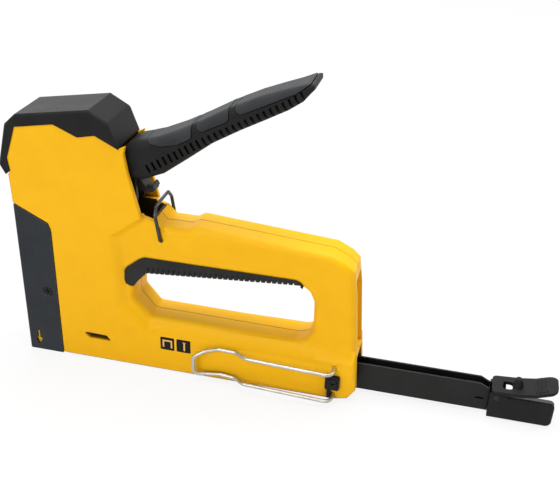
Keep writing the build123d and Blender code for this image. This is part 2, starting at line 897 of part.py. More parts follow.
return_coil = coil(return_mean_r, return_wire_r, return_turns, return_top - return_foot)
return_loops = [end_loop(place, return_loop_r, return_wire_r) for place in (spring_post, spring_pin_place)]

with BuildPart() as return_spring:
    add(Pos(spring_post[0], 0, return_foot) * return_coil)
    add(return_loops)
    for place, bottom, top in (
        (spring_post, spring_post[1] + return_loop_r, return_foot),
        (spring_pin_place, return_top, spring_pin_place[1] - return_loop_r),
    ):
        with BuildSketch(Plane(origin=(place[0], 0, bottom))):
            Circle(return_wire_r)
        extrude(amount=top - bottom)
        with BuildSketch(Plane(origin=(place[0], 0, top if place is spring_post else bottom))):
            with Locations((return_mean_r / 2, 0.0)):
                Rectangle(return_mean_r + 2 * return_wire_r, 2 * return_wire_r)
        extrude(amount=return_wire_r, both=True)
return_spring.part.label = "return_spring"
export_step(return_spring.part, "parts/return_spring.step")

# ================================================================ magazine guide in the body
guide_lip = 1.0
guide_lip_inner = rail_half + slide_gap
staple_guide_front = 0.9
staple_guide_foot = tunnel_floor + seat_gap


with BuildPart() as magazine_guide:
    with BuildSketch(cross_plane(staple_guide_front)):
        outer_top = staple_guide_roof + staple_guide_sheet
        outer_half = staple_guide_half + staple_guide_sheet
        with Locations((0.0, (staple_guide_foot + outer_top) / 2)):
            Rectangle(2 * outer_half, outer_top - staple_guide_foot)
        inner_foot = staple_guide_foot + guide_lip
        with Locations((0.0, (inner_foot + staple_guide_roof) / 2)):
            Rectangle(2 * staple_guide_half, staple_guide_roof - inner_foot, mode=Mode.SUBTRACT)
        with Locations((0.0, staple_guide_foot)):
            Rectangle(2 * guide_lip_inner, 3 * guide_lip, mode=Mode.SUBTRACT)
    extrude(amount=staple_guide_rear - staple_guide_front)
magazine_guide.part.label = "magazine_guide"
export_step(magazine_guide.part, "parts/magazine_guide.step")

# ================================================================ plunger and driver blade
block_rear = 33.0
block_foot = guide_height
block_edge = 1.0
ear_root = 2.0
ear_corner = 1.5
ear_gap = 0.6
ear_front = 20.0
ear_rear = 35.0
ear_half = cheek_inner - ear_gap
ear_top = 105.6
ear_slot_half = 3.3
key_z = 72.0
key_r = 2.5
blade_foot = 0.3
blade_top = 80.0

with BuildPart() as plunger:
    with BuildSketch(Plane.XZ):
        with Locations(((blade_face + block_rear) / 2, (block_foot + plunger_top) / 2)):
            Rectangle(block_rear - blade_face, plunger_top - block_foot)
    extrude(amount=plunger_half, both=True)
    chamfer(plunger.edges().filter_by(Axis.Z), length=block_edge)
    with BuildSketch(Plane.XZ):
        with BuildLine():
            FilletPolyline(
                (ear_front, plunger_top - ear_root), (ear_rear, plunger_top - ear_root), (ear_rear, ear_top),
                (ear_front, ear_top), radius=ear_corner, close=True)
        make_face()
    extrude(amount=ear_half, both=True)
    with BuildSketch(Plane.XZ):
        with Locations(((lifter_reach_x + lifter_x) / 2, lifter_z)):
            Rectangle(lifter_x - lifter_reach_x + 2 * (lifter_pin_r + slide_gap), 2 * ear_slot_half)
    extrude(amount=ear_half, both=True, mode=Mode.SUBTRACT)
    with BuildSketch(Plane(origin=(spring_x, 0, plunger_top))):
        Circle(spigot_r)
    extrude(amount=2 * spigot_r)
    with BuildSketch(cross_plane(blade_face)):
        with Locations((0.0, key_z)):
            Circle(key_r)
    extrude(amount=-blade_thickness)
plunger.part.label = "plunger"
export_step(plunger.part, "parts/plunger.step")

with BuildPart() as driver_blade:
    with BuildSketch(cross_plane(-blade_face)):
        with Locations((0.0, (blade_foot + blade_top) / 2)):
            Rectangle(2 * blade_half, blade_top - blade_foot)
        with Locations((0.0, key_z)):
            Circle(key_r + pin_gap, mode=Mode.SUBTRACT)
    extrude(amount=blade_thickness)
driver_blade.part.label = "driver_blade"
export_step(driver_blade.part, "parts/driver_blade.step")

# ================================================================ handle
lobe_r = 6.5
hub_r = 8.0
web_sheet = 2.5
lever_top = [(52.0, 116.5), (61.5, 131.0), (69.0, 139.5), (78.0, 143.2), (118.0, 164.0), (151.0, 179.4)]
lever_foot = [
    (153.0, 175.0),
    (122.0, 160.0),
    (84.0, 138.5),
    (74.0, 131.0),
    (69.5, 122.0),
    (70.0, 110.0),
    (60.0, 101.8),
]
nose_top_drop = 0.39
nose_foot_rise = 0.325
lever_nose_top = (26.5, lifter_z + lobe_r - nose_top_drop)
lever_nose_foot = (30.5, lifter_z - lobe_r + nose_foot_rise)

with BuildPart() as handle_lever:
    for side in (-1, 1):
        with BuildSketch(side_plane(side * cheek_inner)):
            with BuildLine():
                Polyline(lever_nose_top, *lever_top, *lever_foot, lever_nose_foot, close=True)
            make_face()
            with Locations((lifter_x, lifter_z)):
                Circle(lobe_r)
            with Locations((pivot_x, pivot_z)):
                Circle(hub_r)
            with Locations((lifter_x, lifter_z)):
                Circle(lifter_pin_r + pin_gap, mode=Mode.SUBTRACT)
            with Locations((pivot_x, pivot_z)):
                Circle(pivot_pin_r + pin_gap, mode=Mode.SUBTRACT)
            with Locations(spring_pin_place):
                Circle(spring_pin_r + pin_gap, mode=Mode.SUBTRACT)
        extrude(amount=-side * cheek_sheet)
    with BuildSketch(Plane.XZ):
        with BuildLine():
            Polyline(*lever_top, *reversed(offset_line(lever_top, web_sheet)), close=True)
        make_face()
    extrude(amount=cheek_inner, both=True)
handle_lever.part.label = "handle_lever"
export_step(handle_lever.part, "parts/handle_lever.step")

for name, place, radius in (
    ("lifter_pin", (lifter_x, lifter_z), lifter_pin_r),
    ("spring_pin", spring_pin_place, spring_pin_r),
):
    with BuildPart() as lever_pin:
        with BuildSketch(Plane.XZ):
            with Locations(place):
                Circle(radius)
        extrude(amount=cheek_outer, both=True)
    lever_pin.part.label = name
    export_step(lever_pin.part, f"parts/{name}.step")


def around_pivot(distance, bearing):
    """Side-view place at a distance from the handle pivot and a bearing above +X, in degrees."""
    return (pivot_x + distance * cos(radians(bearing)), pivot_z + distance * sin(radians(bearing)))


def pivot_arc(distance, first, last, steps=6):
    """Places along an arc round the handle pivot."""
    return [around_pivot(distance, first + (last - first) * k / steps) for k in range(steps + 1)]


catch_half = cheek_inner - seat_gap
stem_inner = 10.5
pocket_inner = 14.5
pocket_outer = 17.3
prong_outer = 19.0
hook_foot = 15.0
pocket_foot = 22.0
prong_tip = 29.0
stem_top = 62.0
stem_foot = 23.0
hook_heel = 17.0
prong_root = 19.0
prong_crest = 26.0
pocket_mouth = 28.0
prong_round = 1.0
prong_tip_drop = 0.7
catch_head = [
    (71.5, 131.0),
    (74.0, 141.0),
    (69.8, 139.5),
    (66.2, 134.8),
    (66.0, 130.0),
]

with BuildPart() as handle_catch:
    with BuildSketch(Plane.XZ):
        with BuildLine():
            Polyline(
                *pivot_arc(stem_inner, stem_top, stem_foot),
                *pivot_arc(pocket_inner, hook_heel, hook_foot, 1),
                *pivot_arc(prong_outer - prong_round, hook_foot, hook_heel, 1),
                *pivot_arc(prong_outer, prong_root, prong_crest, 2),
                around_pivot(prong_outer - prong_tip_drop, prong_tip),
                *pivot_arc(pocket_outer, pocket_mouth, pocket_foot, 2),
                *pivot_arc(pocket_inner, pocket_foot, stem_top),
                *catch_head,
                close=True,
            )
        make_face()
    extrude(amount=catch_half, both=True)
    add(handle_lever.part, mode=Mode.SUBTRACT)
handle_catch.part.label = "handle_catch"
export_step(handle_catch.part, "parts/handle_catch.step")

handle_half = 11.0
handle_round = 4.5
handle_corner_share = 0.42
handle_stations = [
    ((66.5, 143.4), (63.4, 127.2)),
    ((71.0, 146.0), (68.2, 122.4)),
    ((76.2, 147.4), (76.6, 124.0)),
    ((84.0, 149.8), (87.4, 128.6)),
    ((97.0, 155.6), (101.6, 139.2)),
    ((110.0, 162.5), (115.4, 149.8)),
    ((124.4, 170.8), (131.0, 159.0)),
    ((139.6, 178.2), (145.4, 166.8)),
    ((151.0, 182.8), (156.2, 172.8)),
    ((160.4, 186.2), (163.8, 178.4)),
    ((166.4, 188.6), (168.0, 183.8)),
    ((169.6, 188.8), (169.9, 186.0)),
]


def handle_solid(grow):
    """Rounded grip body through its upper and lower lines, grown on every side by an amount."""
    sections = []
    for (top_x, top_z), (foot_x, foot_z) in handle_stations:
        high = hypot(top_x - foot_x, top_z - foot_z)
        station = Plane(
            origin=((top_x + foot_x) / 2, 0, (top_z + foot_z) / 2),
            x_dir=(0, 1, 0),
            z_dir=((top_z - foot_z) / high, 0, -(top_x - foot_x) / high),
        )
        corner = min(handle_round, handle_corner_share * high) + grow
        sections.append(station * RectangleRounded(2 * (handle_half + grow), high + 2 * grow, corner))
    return loft(sections, ruled=True)


pad_proud = 0.1
pad_sunk = 1.0
pad_groove = 0.45
pad_corner = 3.0
pad_runs = [
    ((77.2, 148.6), (80.4, 146.2), (87.0, 145.6), (96.0, 147.6), (104.6, 152.6)),
    ((107.4, 155.2), (125.2, 164.6)),
    ((128.8, 167.4), (160.4, 183.0), (171.5, 192.0)),
]
split_lean = (-0.12, 1.0)
pad_lift = 18.0


def pad_outline(points):
    """Side-view outline above a run of lower-edge points, with leaning ends."""
    (x0, z0), (x1, z1) = points[0], points[-1]
    lean, rise = split_lean[0] * pad_lift, split_lean[1] * pad_lift
    return [*points, (x1 + lean, z1 + rise), (x0 + lean, z0 + rise)]


def pad_prism(points, grow):
    """Full-width prism above a run of lower-edge points, grown sideways by an amount."""
    flat = make_face(Polyline(*pad_outline(points), close=True))
    ends = [
        v for v in flat.vertices()
        if min(hypot(v.X - points[k][0], v.Y - points[k][1]) for k in (0, -1)) < pin_gap
    ]
    flat = fillet(ends, radius=pad_corner)
    if grow > 0.0:
        flat = offset(flat, amount=grow)
    return extrude(Plane.XZ * flat, amount=2 * handle_half, both=True)


handle_body = handle_solid(0.0)
handle_outer = handle_solid(pad_proud)
handle_inner = handle_solid(-pad_sunk)
pad_prisms = [pad_prism(points, 0.0) for points in pad_runs]
pad_pockets = [pad_prism(points, pad_groove) - handle_inner for points in pad_runs]

with BuildPart() as handle_pads:
    add(pad_prisms)
    add(handle_outer, mode=Mode.INTERSECT)
    add(handle_inner, mode=Mode.SUBTRACT)
handle_pads.part.label = "handle_pads"
export_step(handle_pads.part, "parts/handle_pads.step")

rib_slot_long = 5.0
rib_slot_wide = 1.5
rib_slot_deep = 2.4
rib_slot_count = 27
rib_line = [(77.5, 130.6), (94.5, 141.0), (106.0, 148.3), (131.4, 162.3), (155.6, 176.2), (165.6, 183.2)]
rib_lean = 28.0


def along_line(points, share):
    """Place at a share of the whole length of an open outline."""
    lengths = [hypot(q[0] - p[0], q[1] - p[1]) for p, q in zip(points, points[1:])]
    left = share * sum(lengths)
    for (p, q), length in zip(zip(points, points[1:]), lengths):
        if left <= length:
            return (p[0] + (q[0] - p[0]) * left / length, p[1] + (q[1] - p[1]) * left / length)
        left -= length
    return points[-1]


with BuildPart() as handle_grip:
    add(handle_body)
    add(pad_pockets, mode=Mode.SUBTRACT)
    for side in (-1, 1):
        with BuildSketch(side_plane(side * (handle_half - rib_slot_deep))):
            for k in range(rib_slot_count):
                x, z = along_line(rib_line, (k + 0.5) / rib_slot_count)
                with Locations(Location((x, z), rib_lean)):
                    Rectangle(rib_slot_wide, rib_slot_long)
        extrude(amount=-side * 2 * handle_round, mode=Mode.SUBTRACT)
    add(handle_lever.part, mode=Mode.SUBTRACT)
    add(handle_catch.part, mode=Mode.SUBTRACT)
handle_grip.part.label = "handle_grip"
export_step(handle_grip.part, "parts/handle_grip.step")

# ================================================================ lock bail
bail_leg_y = 13.6
bail_bar_half = 10.2
bail_reach = 20.7
bail_shoulder = 16.5
bail_bearing = 99.0
bail_bend = 1.4


def along_bail(distance, y):
    """Place on the bail leg at a distance from its pivot, at a station across the tool."""
    return (
        bail_hole[0] + distance * cos(radians(bail_bearing)),
        y,
        bail_hole[1] + distance * sin(radians(bail_bearing)),
    )


with BuildPart() as lock_bail:
    with BuildLine() as bail_path:
        FilletPolyline(
            along_bail(0.0, -bail_end - seat_gap),
            along_bail(0.0, -bail_leg_y),
            along_bail(bail_shoulder, -bail_leg_y),
            along_bail(bail_reach, -bail_bar_half),
            along_bail(bail_reach, bail_bar_half),
            along_bail(bail_shoulder, bail_leg_y),
            along_bail(0.0, bail_leg_y),
            along_bail(0.0, bail_end + seat_gap),
            radius=bail_bend,
        )
    with BuildSketch(Plane(origin=along_bail(0.0, -bail_end - seat_gap), x_dir=(1, 0, 0), z_dir=(0, -1, 0))):
        Circle(bail_wire_r)
    sweep(path=bail_path.wires()[0])
lock_bail.part.label = "lock_bail"
export_step(lock_bail.part, "parts/lock_bail.step")

# ================================================================ magazine rail, end cap and rod
rail_ramp_x = 273.9
rail_ramp_foot = 17.7
stop_sheet = 1.0
stop_top = 7.0

with BuildPart() as magazine_rail:
    with BuildSketch(cross_plane(rail_front)):
        with Locations((0.0, (rail_floor + rail_top) / 2)):
            Rectangle(2 * rail_half, rail_top - rail_floor)
        with Locations((0.0, rail_floor + rail_sheet + rail_top / 2)):
            Rectangle(2 * (rail_half - rail_sheet), rail_top, mode=Mode.SUBTRACT)
    extrude(amount=rail_rear - rail_front)
    with BuildSketch(Plane.XZ):
        with BuildLine():
            Polyline(
                (rail_ramp_x, rail_top), (rail_rear, rail_ramp_foot), (rail_rear + margin, rail_ramp_foot),
                (rail_rear + margin, rail_top + margin), (rail_ramp_x, rail_top + margin), close=True)
        make_face()
    extrude(amount=rail_half + margin, both=True, mode=Mode.SUBTRACT)
    with BuildSketch(cross_plane(rail_front)):
        with Locations((0.0, (rail_floor + stop_top) / 2)):
            Rectangle(2 * rail_half, stop_top - rail_floor)
    extrude(amount=stop_sheet)
magazine_rail.part.label = "magazine_rail"
export_step(magazine_rail.part, "parts/magazine_rail.step")

end_half = 8.0
end_front = rail_rear + 2 * seat_gap
end_rear = 316.0
end_base = 0.5
end_top = 16.7
end_outline = [
    (end_front, end_base), (end_rear - 0.4, end_base), (end_rear, end_top), (294.0, end_top),
    (290.0, 16.2), (288.4, 17.0), (286.5, 17.3), (281.0, 17.3), (end_front, 16.0),
]
end_round = 3.4
end_slope_x = 288.5
end_slope_low = 7.5
end_edge = 1.2
cheek_gap_half = 5.2
latch_pin_place = (283.5, 15.0)
latch_pin_r = 1.5
tongue_front = 266.0
tongue_foot = 3.7
tongue_top = 17.0
tongue_low = 10.0
rod_z = 11.0
rod_r = 1.2
rod_front = 110.0
rod_rear = 276.0
latch_eye_r = 3.4

with BuildPart() as end_cap:
    with BuildSketch(Plane.XZ) as end_side:
        with BuildLine():
            Polyline(*end_outline, close=True)
        make_face()
        rear_corners = [v for v in end_side.vertices() if v.X > end_rear - margin]
        fillet(rear_corners, radius=end_round)
    extrude(amount=end_half, both=True)
    outer = [
        e for e in end_cap.edges()
        if abs(abs(e.center().Y) - end_half) < close_by
        and e.center().X > end_slope_x and e.center().Z < end_top - seat_gap
    ]
    chamfer(outer, length=end_edge)
    # top that falls away from the left edge
    with BuildSketch(cross_plane(end_slope_x)):
        with BuildLine():
            Polyline(
                (end_edge - end_half, end_top), (end_half + margin, end_slope_low),
                (end_half + margin, end_top + margin), (end_edge - end_half, end_top + margin), close=True)
        make_face()
    extrude(amount=end_rear + margin - end_slope_x, mode=Mode.SUBTRACT)
    with BuildSketch(Plane.XZ):
        with Locations(latch_pin_place):
            Circle(latch_eye_r + margin)
        with Locations((latch_pin_place[0], latch_pin_place[1] + latch_eye_r)):
            Rectangle(2 * (latch_eye_r + margin), 2 * latch_eye_r)
    extrude(amount=cheek_gap_half, both=True, mode=Mode.SUBTRACT)
    with BuildSketch(Plane.XZ):
        with Locations(((tongue_front + end_front) / 2, (tongue_foot + tongue_low) / 2)):
            Rectangle(end_front - tongue_front, tongue_low - tongue_foot)
        with Locations(((tongue_front + rail_ramp_x) / 2, (tongue_foot + tongue_top) / 2)):
            Rectangle(rail_ramp_x - tongue_front, tongue_top - tongue_foot)
    extrude(amount=rail_half - rail_sheet - pin_gap, both=True)
    drill(*latch_pin_place, latch_pin_r + pin_gap, far, -far)
    with BuildSketch(cross_plane(tongue_front)):
        with Locations((0.0, rod_z)):
            Circle(rod_r + pin_gap)
    extrude(amount=rod_rear + seat_gap - tongue_front, mode=Mode.SUBTRACT)
end_cap.part.label = "end_cap"
export_step(end_cap.part, "parts/end_cap.step")

with BuildPart() as guide_rod:
    with BuildSketch(cross_plane(rod_front)):
        with Locations((0.0, rod_z)):
            Circle(rod_r)
    extrude(amount=rod_rear - rod_front)
    chamfer(guide_rod.edges().sort_by(Axis.X)[0], length=rod_r / 3)
guide_rod.part.label = "guide_rod"
export_step(guide_rod.part, "parts/guide_rod.step")

with BuildPart() as latch_pin:
    with BuildSketch(Plane.XZ):
        with Locations(latch_pin_place):
            Circle(latch_pin_r)
    extrude(amount=end_half, both=True)
latch_pin.part.label = "latch_pin"
export_step(latch_pin.part, "parts/latch_pin.step")

# ================================================================ latch lever
latch_top = [(280.5, 19.1), (283.0, 19.5), (296.0, 20.4), (304.5, 21.8), (310.5, 24.0), (316.4, 25.6)]
latch_foot = [(316.5, 23.7), (311.0, 21.9), (305.0, 19.6), (297.0, 18.1), (290.0, 17.7), (280.5, 17.7)]
tail_round = 4.5
nose_round = 2.0
knob_place = (294.6, -0.6)
knob_foot_r = 4.0
knob_foot_z = 18.6
knob_high = 7.4
knob_taper = 17.0
hole_place = (289.2, -0.4)
hole_long = 5.6
hole_wide = 7.4
hole_round = 1.8
latch_lug_r = 2.8
lug_inset = 0.6
lug_sunk = 0.5
ridge_inset = 1.5
thumb_ridge_front = 304.8
thumb_ridge_pitch = 1.9
thumb_ridge_count = 4
thumb_ridge_rise = (22.0, 0.37)
thumb_ridge_wide = 0.8
thumb_ridge_high = 0.45
tongue_half = cheek_gap_half - slide_gap

with BuildPart() as latch_lever:
    with BuildSketch(Plane.XZ):
        with BuildLine():
            Polyline(*latch_top, *latch_foot, close=True)
        make_face()
    extrude(amount=end_half, both=True)
    for station, radius in ((latch_top[-1][0], tail_round), (latch_top[0][0], nose_round)):
        corners = [
            e for e in latch_lever.edges()
            if abs(e.center().X - station) < slide_gap and abs(abs(e.center().Y) - end_half) < close_by
        ]
        fillet(corners, radius=radius)
    with BuildSketch(Plane(origin=(*knob_place, knob_foot_z))):
        Circle(knob_foot_r)
    extrude(amount=knob_high, taper=knob_taper)
    with BuildSketch(Plane.XZ):
        with Locations(latch_pin_place):
            Circle(latch_lug_r)
        with Locations((latch_pin_place[0], (latch_pin_place[1] + latch_top[1][1]) / 2)):
            Rectangle(2 * latch_lug_r - lug_inset, latch_top[1][1] - latch_pin_place[1] - lug_sunk)
    extrude(amount=tongue_half, both=True)
    for k in range(thumb_ridge_count):
        x = thumb_ridge_front + k * thumb_ridge_pitch
        rise = thumb_ridge_rise[0] + k * thumb_ridge_pitch * thumb_ridge_rise[1]
        with BuildSketch(Plane.XZ):
            with Locations((x, rise)):
                Rectangle(thumb_ridge_wide, 2 * thumb_ridge_high)
        extrude(amount=end_half - ridge_inset, both=True)
    drill(*latch_pin_place, latch_pin_r + pin_gap, far, -far)
    with BuildSketch(Plane(origin=(0, 0, latch_foot[-1][1]))):
        with Locations(hole_place):
            RectangleRounded(hole_long, hole_wide, hole_round)
    extrude(amount=latch_top[-1][1] - latch_foot[-1][1], mode=Mode.SUBTRACT)
latch_lever.part.label = "latch_lever"
export_step(latch_lever.part, "parts/latch_lever.step")

# ================================================================ staple pusher and its spring
pusher_front = 103.0
pusher_rear = 121.0
pusher_gap = 0.2
pusher_core_half = rail_half - rail_sheet - pusher_gap
pusher_core_foot = 4.2
pusher_plate_foot = rail_top + slide_gap
pusher_plate_top = staple_guide_roof - 2 * slide_gap
pusher_half = crown_width / 2
pusher_skirt_inner = rail_half + pusher_gap
pusher_skirt_foot = 8.0
pusher_spring_mean_r = 2.0
pusher_spring_wire_r = 0.4
pusher_spring_turns = 12

with BuildPart() as staple_pusher:
    with BuildSketch(cross_plane(pusher_front)):
        with Locations((0.0, (pusher_plate_foot + pusher_plate_top) / 2)):
            Rectangle(2 * pusher_half, pusher_plate_top - pusher_plate_foot)
        with Locations((0.0, (pusher_core_foot + pusher_plate_foot) / 2)):
            Rectangle(2 * pusher_core_half, pusher_plate_foot - pusher_core_foot)
        for side in (-1, 1):
            middle = side * (pusher_half + pusher_skirt_inner) / 2
            with Locations((middle, (pusher_skirt_foot + pusher_plate_foot) / 2)):
                Rectangle(pusher_half - pusher_skirt_inner, pusher_plate_foot - pusher_skirt_foot)
        with Locations((0.0, rod_z)):
            Circle(rod_r + slide_gap, mode=Mode.SUBTRACT)
    extrude(amount=pusher_rear - pusher_front)
staple_pusher.part.label = "staple_pusher"
export_step(staple_pusher.part, "parts/staple_pusher.step")

pusher_spring_front = pusher_rear + pusher_spring_wire_r
pusher_spring_rear = tongue_front - pusher_spring_wire_r
pusher_coil = coil(
    pusher_spring_mean_r, pusher_spring_wire_r, pusher_spring_turns, pusher_spring_rear - pusher_spring_front)

with BuildPart() as pusher_spring:
    add(Pos(pusher_spring_front, 0, rod_z) * Rot(0, 90, 0) * pusher_coil)
pusher_spring.part.label = "pusher_spring"
export_step(pusher_spring.part, "parts/pusher_spring.step")
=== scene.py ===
"""Dresses the staple gun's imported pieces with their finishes, fine detail, light and camera.

Every length is in metres in the tool's own frame, and outlines are drawn in millimetres: +X runs
from the nose to the rear, +Z is up and -Y is the left side that carries the belt hook. The origin
is the staple exit.
"""

import logging
import math
from collections.abc import Sequence
from dataclasses import dataclass
from enum import Enum
from functools import cached_property

import bmesh
import bpy
from mathutils import Matrix, Vector


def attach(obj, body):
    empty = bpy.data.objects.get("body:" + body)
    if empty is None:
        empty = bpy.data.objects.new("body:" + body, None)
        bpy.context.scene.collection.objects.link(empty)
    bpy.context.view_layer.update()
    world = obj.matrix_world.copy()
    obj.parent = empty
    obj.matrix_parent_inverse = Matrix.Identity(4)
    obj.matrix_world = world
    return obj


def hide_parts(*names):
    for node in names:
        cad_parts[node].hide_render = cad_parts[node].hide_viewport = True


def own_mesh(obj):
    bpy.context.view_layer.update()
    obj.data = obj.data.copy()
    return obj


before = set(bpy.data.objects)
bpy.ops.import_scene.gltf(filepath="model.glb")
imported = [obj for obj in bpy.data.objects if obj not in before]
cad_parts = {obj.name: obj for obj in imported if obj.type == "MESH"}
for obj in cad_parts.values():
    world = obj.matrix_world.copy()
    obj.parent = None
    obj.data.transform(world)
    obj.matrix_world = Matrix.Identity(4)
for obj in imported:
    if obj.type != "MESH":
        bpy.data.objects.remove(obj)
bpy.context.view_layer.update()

logging.basicConfig(level=logging.INFO, format="%(message)s")
log = logging.getLogger("staple_gun")

MM = 0.001
WHITE = (1.0, 1.0, 1.0)
EVEN = (1.0, 1.0, 1.0)  # the lay of a pattern that isn't drawn out
NORMAL_RAYS = 6  # rays that find the edges near a place
SHELTER_RAYS = 8  # rays that find the faces round a place
MERGE_GAP = 0.001 * MM  # corners nearer than this are one corner
FLAT_WEIGHT = 90  # pull of large faces on the shading of their corners
COIL_SIDES = 10
HOOK_SIDES = 18
BEND_STEPS = 9

Colour = tuple[float, float, float]
Point = tuple[float, float, float]
Place = tuple[float, float]
Outline = list[Place]
Range = tuple[float, float]


# ---------------------------------------------------------------- node trees
class Signal:
    """A node's output socket that takes part in arithmetic and adds its own Math nodes."""

    def __init__(self, tree: "Wiring", socket: bpy.types.NodeSocket) -> None:
        """Wraps one output socket of one tree."""
        self.tree = tree
        self.socket = socket

    def _math(self, operation: str, *terms: "Signal | float") -> "Signal":
        """Result of a Math node on one or two terms."""
        return self.tree.out("ShaderNodeMath", {"operation": operation}, dict(enumerate(terms)))

    def __add__(self, other: "Signal | float") -> "Signal":
        """Sum with a signal or a number."""
        return self._math("ADD", self, other)

    def __radd__(self, other: float) -> "Signal":
        """Sum with a number on the left."""
        return self._math("ADD", other, self)

    def __sub__(self, other: "Signal | float") -> "Signal":
        """Difference from a signal or a number."""
        return self._math("SUBTRACT", self, other)

    def __rsub__(self, other: float) -> "Signal":
        """A number less this signal."""
        return self._math("SUBTRACT", other, self)

    def __mul__(self, other: "Signal | float") -> "Signal":
        """Product with a signal or a number."""
        return self._math("MULTIPLY", self, other)

    def __rmul__(self, other: float) -> "Signal":
        """Product with a number on the left."""
        return self._math("MULTIPLY", other, self)

    def __truediv__(self, other: "Signal | float") -> "Signal":
        """Quotient by a signal or a number."""
        return self._math("DIVIDE", self, other)

    def __rtruediv__(self, other: float) -> "Signal":
        """A number over this signal."""
        return self._math("DIVIDE", other, self)

    def __abs__(self) -> "Signal":
        """The signal without its sign."""
        return self._math("ABSOLUTE", self)

    def bounded(self) -> "Signal":
        """The signal held between 0 and 1."""
        return self.tree.out("ShaderNodeClamp", {}, {"Value": self})

    def step(self, low: float, high: float) -> "Signal":
        """Smooth rise from 0 to 1.

        Args:
            low: Value up to which the result is 0.
            high: Value from which it is 1.

        Returns:
            The rise.
        """
        return self.tree.out(
            "ShaderNodeMapRange",
            {"interpolation_type": "SMOOTHSTEP"},
            {"Value": self, "From Min": low, "From Max": high, "To Min": 0.0, "To Max": 1.0},
        )


class Wiring:
    """A node tree to which one method adds any node."""

    def __init__(self, tree: bpy.types.NodeTree) -> None:
        """Takes hold of a tree."""
        self.tree = tree

    def node(
        self, kind: str, settings: dict[str, object] | None = None, values: dict | None = None
    ) -> bpy.types.Node:
        """Adds a node with its settings, then its numbers, colours or links.

        Args:
            kind: The node's type name.
            settings: Properties set before any socket.
            values: Numbers, colours, sockets or signals by input name or index.

        Returns:
            The new node.
        """
        made = self.tree.nodes.new(kind)
        for key, value in (settings or {}).items():
            setattr(made, key, value)
        for key, value in (values or {}).items():
            target = made.inputs[key]
            if isinstance(value, Signal):
                value = value.socket
            if isinstance(value, bpy.types.NodeSocket):
                self.tree.links.new(value, target)
            elif target.type == "RGBA":
                target.default_value = (*value, 1.0)
            else:
                target.default_value = value
        return made

    def out(
        self,
        kind: str,
        settings: dict[str, object] | None = None,
        values: dict | None = None,
        name: str | int = 0,
    ) -> Signal:
        """Adds a node as node does.

        Args:
            kind: The node's type name.
            settings: Properties set before any socket.
            values: Numbers, colours, sockets or signals by input name or index.
            name: Name or index of the output that is wanted.

        Returns:
            That output.
        """
        return Signal(self, self.node(kind, settings, values).outputs[name])


